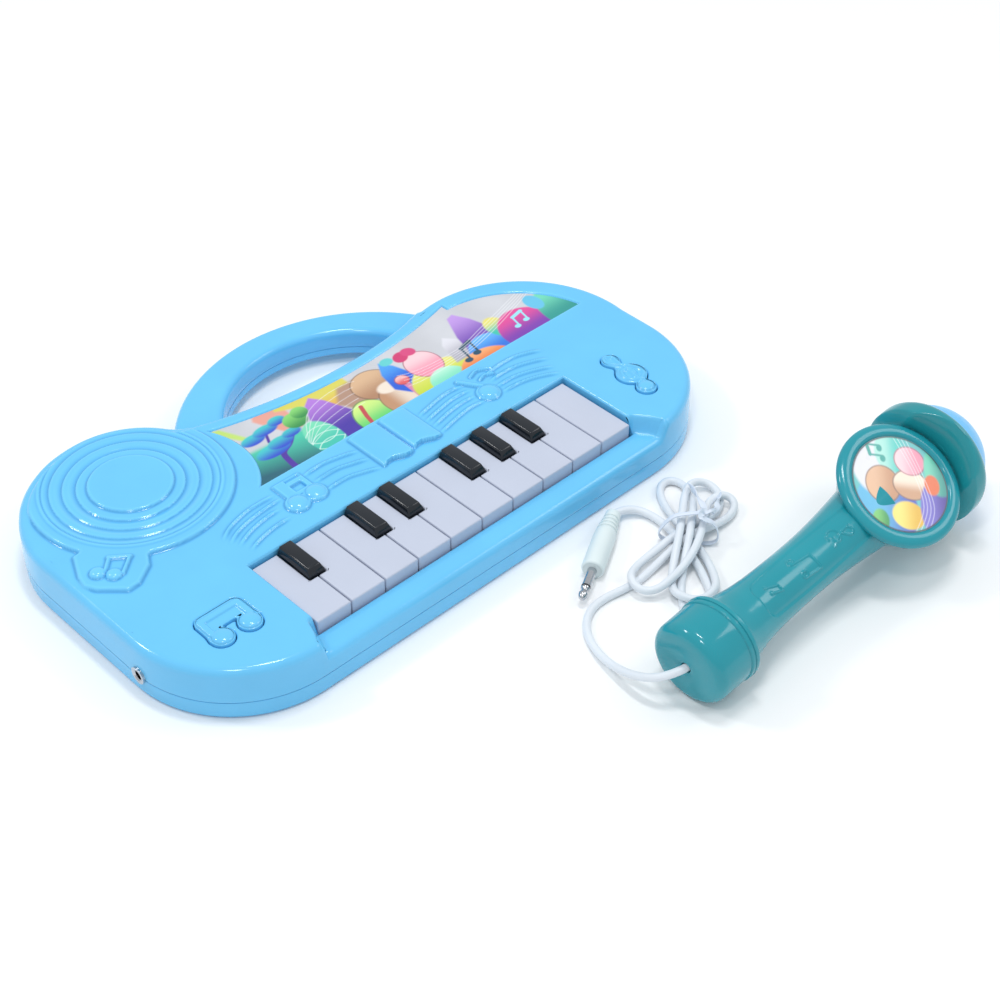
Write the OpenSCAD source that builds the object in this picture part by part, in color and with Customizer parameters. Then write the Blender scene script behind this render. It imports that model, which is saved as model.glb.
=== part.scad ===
// Toy keyboard with a wired microphone.
// Origin: centre of the flat underside of the keyboard case.
// +X to the player's right, +Y away from the player, +Z up. Millimetres.

/* [Case] */
// Height of the case above the table
case_h = 22; // [21:0.5:24]
// Height of the parting line between the two shells
seam_z = 7.5; // [7:0.5:8]
// Wall thickness of the shells
wall = 2; // [1.6:0.2:2.4]
// Height of the front rail before the keys
rail_z = 15.4; // [14.5:0.1:16]
// Height of the raised disc with the ring grooves
disc_h = 0.8; // [0.4:0.1:1]

/* [Handle] */
// Height of the top of the carrying handle
handle_top = 15.7; // [14:0.1:17]
// Height of the underside of the carrying handle
handle_bottom = 4.7; // [4:0.1:6]

/* [Keys] */
// Spacing of the white keys
key_pitch = 15.3; // [15.3:0.1:15.3]
// Side gap between white keys
key_gap = 0.5; // [0.4:0.1:0.8]
// Height of the white key tops
key_top = 20; // [19.4:0.1:20]
// Height of the black key tops
black_top = 23; // [22:0.1:24]

/* [Buttons] */
// Height of the top of the two note-shaped buttons
button_top = 24; // [23:0.1:25]
// How far a button travels
button_travel = 1.5; // [0.8:0.1:1.8]

/* [Jack] */
// Diameter of the plug shaft
plug_d = 3.5; // [3.45:0.05:3.5]
// Bore of the microphone socket
jack_bore_d = 3.6; // [3.55:0.05:3.7]

/* [Microphone] */
// Diameter of the microphone collar
mic_head_d = 48; // [47:0.5:48]
// Diameter of the round badge on the microphone
mic_badge_d = 37.4; // [36.6:0.2:37.8]
// Diameter of the microphone cord
cord_d = 3; // [2.8:0.1:3]

/* [Hidden] */
$fn = 96;

BLUE = [0.50, 0.80, 0.97];
TEAL = [0.16, 0.60, 0.66];
WHITE = [0.83, 0.85, 0.93];
DARK = [0.09, 0.12, 0.18];
STEEL = [0.75, 0.76, 0.78];
e = 0.01;

// ---- plan outline of the case, drawn i millimetres inside its edge ----
module plan(i = 0) {
  translate([-82.5, -34]) circle(r = 45.5 - i);
  translate([80.2, -31]) circle(r = 48.5 - i);
  translate([78, -9.5]) circle(r = 51.1 - i);
  translate([-82.5, -79.5 + i]) square([162.7, 90]);
  translate([-128 + i, -34]) square([60, 53]);
  translate([60, -31]) square([68.7 - i, 21.5]);
  translate([-81, 30]) circle(r = 36 - i);
  intersection() {
    translate([-81, 19]) circle(r = 47 - i);
    translate([-130, -40]) square([49 + e, 110]);
  }
  difference() {
    translate([-81, -34]) square([33, 64]);
    translate([-81, 30 - e]) square([33.1, 1]);
  }
  difference() {
    translate([-48, -34]) square([114, 84]);
    translate([18.3, 235.9]) circle(r = 201.1 + i, $fn = 240);
  }
}

// ---- carrying handle outline behind the case ----
module handle_plan(i = 0) {
  difference() {
    translate([10, 6.8]) circle(r = 73 - i, $fn = 160);
    translate([12, 17.2]) circle(r = 49 + i, $fn = 120);
    translate([-100, -100]) square([200, 136]);
    plan(0.8);
  }
}

// prism of the case outline
module slab(i, z0, z1) { translate([0, 0, z0]) linear_extrude(z1 - z0) plan(i); }

// ---- note and clef shapes of the two buttons, grown by g ----
module note_shape(g = 0) {
  for (p = [[-104.2, -53.4], [-92.9, -53.8]]) translate(p) circle(r = 4.4 + g, $fn = 48);
  translate([-108.2 - g, -53.4]) square([4.6 + 2 * g, 10]);
  translate([-93 - g, -53.8]) square([4.6 + 2 * g, 10]);
  translate([-105.4 - g, -49.5 - g]) square([14, 8.8 + 2 * g]);
  for (p = [[-104.6, -44.3], [-92, -44.3]]) translate(p) circle(r = 3.6 + g, $fn = 48);
  translate([-104.6, -47]) square([12.6, 6.3 + g]);
}
module clef_shape(g = 0) {
  translate([98, -48.8]) circle(r = 6.2 + g, $fn = 48);
  translate([98, -37.6]) circle(r = 3.7 + g, $fn = 48);
  translate([96.2, -58.4]) circle(r = 4 + g, $fn = 48);
  translate([95.6 - g, -58]) square([4.2 + 2 * g, 21]);
}

screw_xy = [[-107, -64.5], [112, -56], [113, 14], [-81, 57], [-121, 0], [-28, 26]];
// side-to-side places of the rod supports, all between key stems
post_x = [-78.6, -45.4, 0.5, 61.7, 79.6];
rod_y = -5;
rod_z = 13;
black_after = [0, 2, 3, 5, 6, 7];
spk = [-84, 26];

// ---- upper shell ----
module upper_case() {
  color(BLUE) difference() {
    union() {
      difference() {
        union() {
          slab(0, seam_z, case_h - 3);
          slab(0.5, case_h - 3, case_h - 1.6);
          slab(1.2, case_h - 1.6, case_h - 0.7);
          slab(2.4, case_h - 0.7, case_h);
          // raised disc over the speaker
          translate([-81.2, 30.2, case_h - e]) cylinder(r = 33.6, h = disc_h + e);
          // handle, an inverted channel
          translate([0, 0, seam_z]) linear_extrude(handle_top - seam_z) handle_plan(0);
        }
        slab(wall, seam_z - 1, case_h - wall);
        difference() {
          translate([0, 0, seam_z - 1]) linear_extrude(handle_top - wall - seam_z + 1) handle_plan(wall);
          slab(-0.5, 0, case_h);
        }
        // key opening and the lower rail before it
        translate([-76.3, -68.8, seam_z - 1]) cube([154.3, 37.3, 20]);
        translate([-76.3, -82, rail_z]) cube([154.3, 20, 20]);
      }
      // rail behind the front wall
      translate([-76.3, -79, rail_z - 2]) cube([154.3, 10.2, 2]);
      translate([-76.3, -70.4, seam_z + 1.6]) cube([154.3, 1.6, 6]);
      for (x = [-78.3, 78]) translate([x, -78, rail_z - 5]) cube([2, 46.5, 10]);
      // screw bosses
      for (p = screw_xy) translate([p[0], p[1], seam_z + 0.3]) cylinder(d = 6.4, h = case_h - wall - seam_z - 0.2, $fn = 48);
    }
    for (p = screw_xy) translate([p[0], p[1], seam_z]) cylinder(d = 2.4, h = 8.4, $fn = 32);
    // sunk seat of the printed panel
    translate([0, 0, case_h - 0.8]) linear_extrude(5) art_plan(0.15);
    // button holes
    translate([0, 0, case_h - 4]) linear_extrude(5) { note_shape(0.4); clef_shape(0.4); }
    // ring grooves of the disc
    for (r = [16, 20, 24.8, 29.4]) translate([-81.2, 30.2, case_h + disc_h - 0.6]) rotate_extrude() translate([r, 0]) square([0.9, 2]);
    // socket hole
    translate([-130, -36.5, 8.5]) rotate([0, 90, 0]) cylinder(r = 3.4, h = 6, $fn = 48);
  }
}

// printed panel outline
module art_plan(g = 0) {
  intersection() {
    difference() {
      translate([-46, -1.2 - g]) square([165, 42]);
      translate([-70.5, 21.5]) circle(r = 33 - g);
      translate([18.3, 235.9]) circle(r = 208.2 - g, $fn = 240);
    }
    union() {
      translate([-50, -3]) square([128, 47]);
      translate([76, -9.5]) circle(r = 42 + g);
    }
  }
}
module art_panel() {
  color([0.55, 0.75, 0.65]) translate([0, 0, case_h - 0.8]) linear_extrude(0.4) art_plan(0);
}

// ---- lower shell ----
module lower_case() {
  color(BLUE) difference() {
    union() {
      difference() {
        union() {
          slab(1.6, 0, 0.6);
          slab(0.6, 0.6, 1.5);
          slab(0.1, 1.5, seam_z);
          translate([0, 0, handle_bottom]) linear_extrude(seam_z - handle_bottom) handle_plan(0.1);
        }
        slab(wall + 0.1, wall, seam_z + 1);
      }
      // battery tray
      difference() {
        translate([-8.4, -0.4, 0]) cube([106.8, 33, 18.2]);
        translate([-7, 1, -1]) cube([104, 30.2, 18]);
      }
      // screw bosses
      for (p = screw_xy) translate([p[0], p[1], 0]) cylinder(d = 8, h = seam_z, $fn = 48);
      translate([-12, 16, 0]) cylinder(d = 8, h = 9, $fn = 48);
      // rod supports
      for (x = post_x) translate([x - 1.3, rod_y - 3.2, 1]) cube([2.6, 6.4, rod_z + 2.4]);
      // board posts
      for (x = [-70, -22, 28, 68], y = [-62, -16]) translate([x, y, 0]) cylinder(d = 5, h = 4, $fn = 32);
      // speaker rim
      difference() {
        translate([spk[0], spk[1], 1]) cylinder(r = 22.4, h = 6, $fn = 96);
        translate([spk[0], spk[1], 0]) cylinder(r = 20.6, h = 8, $fn = 96);
      }
      // switch bracket
      translate([105, -22, 1]) cube([14, 1.6, 6]);
      translate([105, -7.6, 1]) cube([14, 1.6, 6]);
    }
    // counterbores and clearance holes
    for (p = screw_xy) translate([p[0], p[1], -1]) {
      cylinder(d = 5.6, h = 4, $fn = 48);
      cylinder(d = 2.9, h = 12, $fn = 32);
    }
    translate([-12, 16, 1.8]) cylinder(d = 2, h = 6, $fn = 32);
    // seat of the battery cover
    translate([-17.2, 12.2, -1]) cube([12, 7.6, 2.8]);
    // the tray walls stop above the cover edge
    translate([-7.2, 0.8, -1]) cube([104.4, 30.6, 3]);
    // bores for the pivot rod
    translate([-81, rod_y, rod_z]) rotate([0, 90, 0]) cylinder(r = 1.5, h = 164, $fn = 48);
    // speaker slots
    for (k = [-2:2]) translate([spk[0] - 13 + abs(k) * 2, spk[1] + k * 5 - 1.1, -1]) cube([26 - abs(k) * 4, 2.2, 5]);
    // switch slot
    translate([109, -18.2, -1]) cube([5, 8.4, 5]);
    // socket hole
    translate([-130, -36.5, 8.5]) rotate([0, 90, 0]) cylinder(r = 3.4, h = 6, $fn = 48);
    // lead holes in the tray
    for (y = [4, 28]) translate([-10, y, 14]) rotate([0, 90, 0]) cylinder(r = 0.9, h = 6, $fn = 24);
  }
}

// ---- keys ----
function kx(i) = -76 + key_pitch * i;
function is_black(i) = len(search(i, black_after)) > 0;
module rod_cut(w) { translate([-w, rod_y, rod_z]) rotate([0, 90, 0]) cylinder(r = 1.56, h = 2 * w, $fn = 48); }
module white_key(i) {
  w = key_pitch - key_gap;
  color(WHITE) translate([kx(i) + key_gap / 2, 0, 0]) difference() {
    union() {
      translate([0, -68, 11.4]) cube([w, 35.8, key_top - 11.4]);
      translate([w / 2 - 2.7, -34, 12.6]) cube([5.4, rod_y + 34, 4.2]);
      translate([w / 2 - 2.7, rod_y, rod_z]) rotate([0, 90, 0]) cylinder(r = 3.2, h = 5.4, $fn = 48);
    }
    translate([1.3, -66.6, 10]) cube([w - 2.6, 15.8, key_top - 12]);
    translate([5.2, -50.8, 10]) cube([w - 10.4, 17.2, key_top - 12]);
    translate([w / 2, 0, 0]) rod_cut(10);
    // notches for the raised keys
    if (is_black(i)) translate([w - 3.85, -50.4, 10]) cube([9, 20, 20]);
    if (i > 0 && is_black(i - 1)) translate([3.85 - 9, -50.4, 10]) cube([9, 20, 20]);
  }
}
module black_key(i) {
  color(DARK) translate([kx(i + 1), 0, 0]) difference() {
    union() {
      translate([-3.6, -50, 11.4]) cube([7.2, 17.8, key_top + 0.2 - 11.4]);
      // tapered top
      translate([0, -32.2, 0]) rotate([90, 0, 0]) linear_extrude(17.8)
        polygon([[-3.6, key_top], [3.6, key_top], [2.8, black_top], [-2.8, black_top]]);
      translate([-2.1, -34, 12.6]) cube([4.2, rod_y + 34, 4.2]);
      translate([-2.1, rod_y, rod_z]) rotate([0, 90, 0]) cylinder(r = 3.2, h = 4.2, $fn = 48);
    }
    translate([-2.4, -48.8, 10]) cube([4.8, 15.2, 11.4]);
    // sloped front
    translate([-5, -50, key_top]) rotate([32, 0, 0]) translate([0, -6, 0]) cube([10, 6 + 5.2, 6]);
    rod_cut(10);
  }
}
module white_key_01() { white_key(0); }
module white_key_02() { white_key(1); }
module white_key_03() { white_key(2); }
module white_key_04() { white_key(3); }
module white_key_05() { white_key(4); }
module white_key_06() { white_key(5); }
module white_key_07() { white_key(6); }
module white_key_08() { white_key(7); }
module white_key_09() { white_key(8); }
module white_key_10() { white_key(9); }
module black_key_1() { black_key(0); }
module black_key_2() { black_key(2); }
module black_key_3() { black_key(3); }
module black_key_4() { black_key(5); }
module black_key_5() { black_key(6); }
module black_key_6() { black_key(7); }

module key_pivot_rod() {
  color(STEEL) translate([-81, rod_y, rod_z]) rotate([0, 90, 0]) cylinder(r = 1.5, h = 163, $fn = 48);
}
// rubber strip with a dome under each key
module key_return_strip() {
  color([0.75, 0.75, 0.72]) {
    translate([-74.5, -30, 5.6]) cube([150, 10, 1.2]);
    for (i = [0:9]) translate([kx(i) + key_pitch / 2, -25, 6.7]) cylinder(r1 = 2.6, r2 = 1.8, h = 4, $fn = 32);
    for (i = [0, 2, 3, 5, 6, 7]) translate([kx(i + 1), -25, 6.7]) cylinder(r1 = 2.6, r2 = 1.8, h = 4, $fn = 32);
  }
}
module main_board() {
  color([0.12, 0.42, 0.22]) difference() {
    translate([-75, -66, 4]) cube([150, 53, 1.6]);
    for (x = [-70, -22, 28, 68], y = [-62, -16]) translate([x, y, 3]) cylinder(d = 2.2, h = 4, $fn = 32);
  }
}
module board_parts() {
  color([0.1, 0.1, 0.11]) {
    translate([10, -50, 5.6]) cylinder(r1 = 6, r2 = 4.5, h = 1.8, $fn = 48);
    for (p = [[-40, -56], [-10, -58], [36, -48]]) translate([p[0], p[1], 5.6]) cylinder(d = 5, h = 3, $fn = 32);
    for (p = [[-60, -50], [-52, -50], [50, -56]]) translate([p[0], p[1], 5.6]) cube([3, 2, 1]);
    translate([-66, -42, 5.6]) cube([8, 5, 3.4]);
  }
}

// ---- push buttons ----
module button_body() {
  difference() {
    union() {
      translate([0, 0, case_h - wall - 2.4]) linear_extrude(button_top - case_h + wall + 2.4) children(0);
      translate([0, 0, case_h - wall - 3.6]) linear_extrude(1.6) children(1);
    }
    translate([0, 0, case_h - wall - 4]) linear_extrude(4) children(2);
  }
}
module note_button() {
  color(BLUE) difference() {
    button_body() { note_shape(0); note_shape(1.1); note_shape(-1.6); }
    translate([-101, -51.5, button_top - 0.8]) cube([5.4, 6.4, 2]);
  }
}
module clef_button() {
  color(BLUE) difference() {
    button_body() { clef_shape(0); clef_shape(1.1); clef_shape(-1.5); }
    translate([98, -48.8, button_top - 0.7]) difference() {
      cylinder(r = 4, h = 2, $fn = 48);
      translate([0, 0, -1]) cylinder(r = 2.2, h = 4, $fn = 48);
    }
  }
}
button_xy = [[-98.5, -47.5], [98, -46]];
module button_pads() {
  color([0.7, 0.7, 0.68]) for (p = button_xy) translate([p[0], p[1], 2]) {
    cylinder(d = 7, h = 8, $fn = 32);
    translate([0, 0, 7.9]) cylinder(r1 = 3.2, r2 = 2.2, h = 3.2, $fn = 32);
  }
}

// ---- loudspeaker ----
module speaker_frame() {
  color([0.3, 0.3, 0.32]) translate([spk[0], spk[1], 2]) difference() {
    union() {
      cylinder(r = 20, h = 1.2, $fn = 96);
      translate([0, 0, 1.1]) cylinder(r1 = 18, r2 = 10, h = 5, $fn = 96);
    }
    translate([0, 0, -1]) cylinder(r = 17, h = 2.4, $fn = 96);
    translate([0, 0, 1.1]) cylinder(r1 = 17, r2 = 9, h = 4, $fn = 96);
    translate([0, 0, 3]) cylinder(r = 4.5, h = 5, $fn = 48);
  }
}
module speaker_cone() {
  color([0.15, 0.15, 0.16]) translate([spk[0], spk[1], 2.6]) difference() {
    cylinder(r1 = 16.7, r2 = 7.4, h = 3.6, $fn = 96);
    translate([0, 0, -0.5]) cylinder(r1 = 16.8, r2 = 7.2, h = 3.6, $fn = 96);
  }
}
module speaker_magnet() {
  color([0.55, 0.56, 0.58]) translate([spk[0], spk[1], 8.1]) cylinder(r = 9, h = 6, $fn = 64);
}

// ---- microphone socket in the left wall ----
module jack_socket() {
  color(STEEL) translate([-128, -36.5, 8.5]) rotate([0, 90, 0]) difference() {
    union() {
      translate([0, 0, -0.5]) cylinder(r = 3.3, h = 4, $fn = 64);
      translate([0, 0, 2.9]) cylinder(r = 4.6, h = 1, $fn = 64);
      translate([-4, -4, 3.4]) cube([8, 8, 13.6]);
    }
    translate([0, 0, -1]) cylinder(d = jack_bore_d, h = 16, $fn = 64);
    translate([0, 0, -0.6]) cylinder(r1 = 2.4, r2 = 1.79, h = 0.6, $fn = 64);
  }
}

// ---- power switch on the underside ----
module power_switch() {
  color([0.2, 0.2, 0.22]) difference() {
    translate([106, -20.4, 2]) cube([11, 12.8, 6]);
    translate([108.6, -18.4, 1]) cube([5.8, 8.8, 4.4]);
  }
}
module power_slider() {
  color(WHITE) union() {
    translate([109.2, -18, 0.5]) cube([4.6, 4, 2.4]);
    translate([108.9, -18, 2.6]) cube([5.2, 4, 2.4]);
  }
}

// ---- batteries ----
module battery_cover() {
  color(BLUE) union() {
    difference() {
      union() {
        translate([-6.8, 1.2, 0.1]) cube([103.6, 29.8, 1.6]);
        translate([-16.8, 12.5, 0.1]) cube([11, 7, 1.6]);
      }
      translate([-12, 16, -1]) cylinder(d = 2.4, h = 4, $fn = 32);
      translate([-12, 16, -1]) cylinder(d = 4.4, h = 2.05, $fn = 32);
      for (k = [0:5]) translate([40 + k * 2.4, 9, -1]) cube([1, 14, 1.6]);
    }
  }
}
module battery_screw() {
  color(STEEL) translate([-12, 16, 0]) {
    translate([0, 0, 0.15]) difference() {
      cylinder(d = 4.2, h = 0.85, $fn = 32);
      translate([-1.4, -0.25, -0.5]) cube([2.8, 0.5, 0.8]);
      translate([-0.25, -1.4, -0.5]) cube([0.5, 2.8, 0.8]);
    }
    translate([0, 0, 0.95]) cylinder(d = 1.9, h = 6.1, $fn = 32);
  }
}
cell_y = [8.6, 23.6];
module battery_contacts() {
  color(STEEL) {
    for (y = cell_y) {
      translate([-7, y - 5, 4]) cube([0.4, 10, 11]);
      translate([96.6, y - 5, 4]) cube([0.4, 10, 11]);
      translate([-6.6, y, 9.6]) rotate([0, 90, 0]) difference() {
        cylinder(r = 3.2, h = 0.8, $fn = 32);
        translate([0, 0, -1]) cylinder(r = 2.4, h = 3, $fn = 32);
      }
    }
  }
}
module battery_cells() {
  color([0.25, 0.27, 0.3]) for (y = cell_y, x = [-5.4, 45.4]) translate([x, y, 9.3]) rotate([0, 90, 0]) {
    cylinder(d = 14.2, h = 49, $fn = 64);
    translate([0, 0, 48.9]) cylinder(d = 5.2, h = 1.2, $fn = 32);
  }
}
module case_screws() {
  color(STEEL) for (p = screw_xy) translate([p[0], p[1], 0]) {
    translate([0, 0, 1.6]) difference() {
      cylinder(d = 5.2, h = 1.4, $fn = 32);
      translate([-1.7, -0.3, -0.5]) cube([3.4, 0.6, 1]);
      translate([-0.3, -1.7, -0.5]) cube([0.6, 3.4, 1]);
    }
    translate([0, 0, 2.9]) cylinder(d = 2.4, h = 11, $fn = 32);
  }
}
// ---- leads, straight runs between round corners ----
// smooth curve through hand-set points, m steps between each two
function curve_at(p, i, t) =
  let (n = len(p), a = p[max(i - 1, 0)], b = p[i], c = p[min(i + 1, n - 1)], d = p[min(i + 2, n - 1)])
  0.5 * (2 * b + t * (c - a) + t * t * (2 * a - 5 * b + 4 * c - d) + t * t * t * (3 * b - a - 3 * c + d));
function curve(p, m) = concat([for (i = [0:len(p) - 2], k = [0:m - 1]) curve_at(p, i, k / m)], [p[len(p) - 1]]);
// tube of radius r and n sides along the points
module tube(p, r, n = 8) {
  q = len(p);
  rings = [for (k = [0:q - 1])
    let (t = p[min(k + 1, q - 1)] - p[max(k - 1, 0)], u = t / norm(t),
         s = cross(u, [0, 0, 1]), a = s / norm(s), b = cross(a, u))
    for (j = [0:n - 1]) p[k] + r * (cos(360 * j / n) * a + sin(360 * j / n) * b)];
  polyhedron(points = rings, faces = concat(
    [[for (j = [0:n - 1]) j]],
    [[for (j = [n - 1:-1:0]) (q - 1) * n + j]],
    [for (k = [0:q - 2], j = [0:n - 1]) [k * n + j, (k + 1) * n + j, (k + 1) * n + (j + 1) % n]],
    [for (k = [0:q - 2], j = [0:n - 1]) [k * n + j, (k + 1) * n + (j + 1) % n, k * n + (j + 1) % n]]));
}
module speaker_leads() {
  color([0.8, 0.15, 0.12]) {
    tube(curve([[-76, 24, 14.8], [-73, 14, 15], [-72.3, 4, 11.5], [-72.3, -5, 9], [-72.3, -11, 7.6], [-72.3, -15, 6.2]], 3), 0.6, 6);
    tube(curve([[-79, 20, 14.8], [-76, 11, 14.8], [-74.4, 3, 11.5], [-74.3, -5, 9], [-74.3, -11, 7.6], [-74.3, -15, 6.2]], 3), 0.6, 6);
  }
}
module battery_leads() {
  color([0.1, 0.1, 0.1]) {
    tube(curve([[-9, 4, 14], [-13, 3, 13], [-15, -3, 9], [-15, -10, 7], [-15, -15, 6.4]], 3), 0.6, 6);
    tube(curve([[-9, 28, 14], [-16, 22, 13], [-19, 8, 9], [-19, -6, 7.4], [-19, -15, 6.4]], 3), 0.6, 6);
  }
}
module jack_leads() {
  color([0.9, 0.8, 0.2]) {
    tube(curve([[-110.8, -35, 8.5], [-102, -34, 6], [-90, -34, 4.8], [-80, -35, 5.6], [-73, -35, 6.4]], 3), 0.6, 6);
    tube(curve([[-110.8, -38, 8.5], [-102, -38, 6], [-90, -38, 4.8], [-80, -38, 5.6], [-73, -38, 6.4]], 3), 0.6, 6);
  }
}

// ---- microphone, drawn along local +X with the badge facing local +Z ----
mic_origin = [18, -164.4, 16.4];
mic_turn = [28.6, -4, 1.4];
badge_x = 91;
// outline of the bowl behind the badge and of the ring round it, as [height, radius]
bowl_out = [[-12, 11.5], [-11.4, 12.6], [-10, 14], [-5, 16.3], [0, 18.5], [5.4, 20.9]];
ring_out = [[5.42, 20.9], [8, 22.1], [10.2, 23], [10.5, 24], [12, 24], [12.9, 23.2], [13.6, 21.4]];
module turned(p, g = 0, lo = -50, hi = 50) {
  // solid turned about the badge axis, grown by g
  q = [for (v = p) if (v[0] >= lo && v[0] <= hi) v];
  translate([badge_x, 0, 0]) rotate_extrude() polygon(concat([[0, q[0][0]]], [for (v = q) [v[1] + g, v[0]]], [[0, q[len(q) - 1][0]]]));
}
hr = mic_head_d / 2;
module mic_place() { translate(mic_origin) rotate(mic_turn) children(); }
module along_x() { rotate([0, 90, 0]) rotate([0, 0, 90]) children(); }
grip_out = [[0.02, 16.2], [1.6, 16.2], [2.2, 15.2], [3.4, 14.2], [7, 12.9], [15, 11.4], [25, 10.6], [35, 10.3], [45, 10.3], [55, 10.6], [65, 11.4], [76, 12.5]];
grip_in = [for (p = grip_out) [p[0], p[1] - 1.8]];
module grip_tube() {
  n = len(grip_out);
  along_x() rotate_extrude() polygon(concat([for (p = grip_out) [p[1], p[0]]], [for (k = [n - 1:-1:0]) [grip_in[k][1], grip_in[k][0]]]));
  // neck that carries the collar
  along_x() rotate_extrude() polygon([[15, 103.5], [15, 118], [13.2, 118], [13.2, 103.5]]);
}
module mic_front_shell() {
  color(TEAL) mic_place() difference() {
    union() {
      difference() {
        intersection() {
          grip_tube();
          translate([-1, -30, 0.02]) cube([130, 60, 40]);
        }
        turned(ring_out, 0.15);
        // room for the ring above its seat, and inside the bowl
        translate([badge_x, 0, 10.3]) cylinder(r = 24.15, h = 30);
        translate([badge_x, -30, 5.4]) cube([24.15, 60, 30]);
        translate([badge_x, 0, -1]) cylinder(r1 = 16.5, r2 = 19.2, h = 6.39);
      }
      difference() {
        turned([[0.02, 18.5], [5.4, 20.9]]);
        turned([[-0.1, 16.5], [5.5, 19.2]]);
        along_x() cylinder(r = 9.8, h = 125);
      }
      for (x = [14, 62]) translate([x, 0, 0.02]) cylinder(r = 2.4, h = 10.4, $fn = 32);
    }
    for (x = [14, 62]) translate([x, 0, -1]) cylinder(r = 0.9, h = 8, $fn = 32);
  }
}
module mic_back_shell() {
  color(TEAL) mic_place() difference() {
    union() {
      difference() {
        intersection() {
          grip_tube();
          translate([-1, -30, -40]) cube([130, 60, 39.98]);
        }
        turned([[-10.6, 13.1], [-5, 15.6], [1, 18.1]]);
      }
      difference() {
        turned([[-12, 11.5], [-11.4, 12.6], [-10, 14], [-5, 16.3], [-0.02, 18.5]]);
        turned([[-10, 12], [-5, 14.4], [1, 16.9]]);
        along_x() cylinder(r = 9.8, h = 125);
      }
      for (x = [14, 62]) translate([x, 0, -10.2]) cylinder(r = 2.8, h = 10.18, $fn = 32);
    }
    for (x = [14, 62]) translate([x, 0, -20]) {
      cylinder(r = 1.1, h = 24, $fn = 32);
      cylinder(r = 2.2, h = 13.6, $fn = 32);
    }
  }
}
module mic_end_cap() {
  color(TEAL) mic_place() along_x() difference() {
    rotate_extrude() polygon([[0, -17], [8, -16.9], [11.5, -16.3], [13.6, -15], [14.9, -12.9], [15.5, -10.5], [15.7, -7], [15.8, -2.2], [16.2, -1.8], [16.2, -0.02], [0, -0.02]]);
    rotate_extrude() polygon([[0, -15], [8, -14.8], [11.8, -13], [13.6, -9.5], [13.8, 1], [0, 1]]);
    translate([0, 0, -20]) cylinder(d = cord_d + 0.6, h = 10, $fn = 48);
  }
}
module mic_badge_ring() {
  color(TEAL) mic_place() difference() {
    turned(ring_out);
    translate([badge_x, 0, 12.6]) cylinder(r = mic_badge_d / 2 + 0.15, h = 4);
    turned([[5.3, 19], [10.8, 20.6]]);
  }
}
module mic_badge() {
  color([0.6, 0.5, 0.7]) mic_place() translate([badge_x, 0, 12.62]) cylinder(d = mic_badge_d, h = 0.35);
}
module mic_collar() {
  color(TEAL * 0.85) mic_place() difference() {
    union() {
      along_x() rotate_extrude() polygon([[hr - 2.4, 110.5], [hr - 0.6, 110.5], [hr, 111.3], [hr, 117.8], [hr - 0.3, 119.4], [hr - 1.1, 120.8], [hr - 2, 121.4], [hr - 2.7, 121.4], [hr - 2.7, 118.5], [hr - 2.4, 118], [hr - 2.4, 115], [15.02, 115], [15.02, 113], [hr - 2.4, 113]]);
      // wall that closes the cup toward the round head
      intersection() {
        translate([badge_x, 0, -30]) cylinder(r = 26.2, h = 60);
        translate([110.6, 0, 0]) rotate([0, 90, 0]) cylinder(r = hr - 1, h = 7);
      }
    }
    translate([badge_x, 0, -40]) cylinder(r = 24.7, h = 80);
    along_x() cylinder(r = 15.02, h = 140);
  }
}
module mic_dome() {
  color(BLUE) mic_place() along_x() rotate_extrude() polygon(concat(
    [for (a = [86:-2:0]) [(hr - 2.8) * sin(a), 116.3 + (hr - 2.8) * cos(a)]],
    [for (a = [0:2:86]) [(hr - 4.4) * sin(a), 116.3 + (hr - 4.4) * cos(a)]]));
}
module mic_capsule_holder() {
  color([0.85, 0.85, 0.85]) mic_place() along_x() difference() {
    translate([0, 0, 115.5]) cylinder(r = 13.2, h = 2, $fn = 64);
    translate([0, 0, 110]) cylinder(r = 4.9, h = 20, $fn = 48);
  }
}
module mic_capsule() {
  color(STEEL) mic_place() along_x() translate([0, 0, 115]) {
    cylinder(r = 4.9, h = 6.6, $fn = 48);
  }
}
module mic_screws() {
  color(STEEL) mic_place() for (x = [14, 62]) translate([x, 0, -6.5]) {
    cylinder(r = 0.9, h = 11, $fn = 32);
    translate([0, 0, -1.4]) cylinder(r = 2, h = 1.41, $fn = 32);
  }
}

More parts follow.
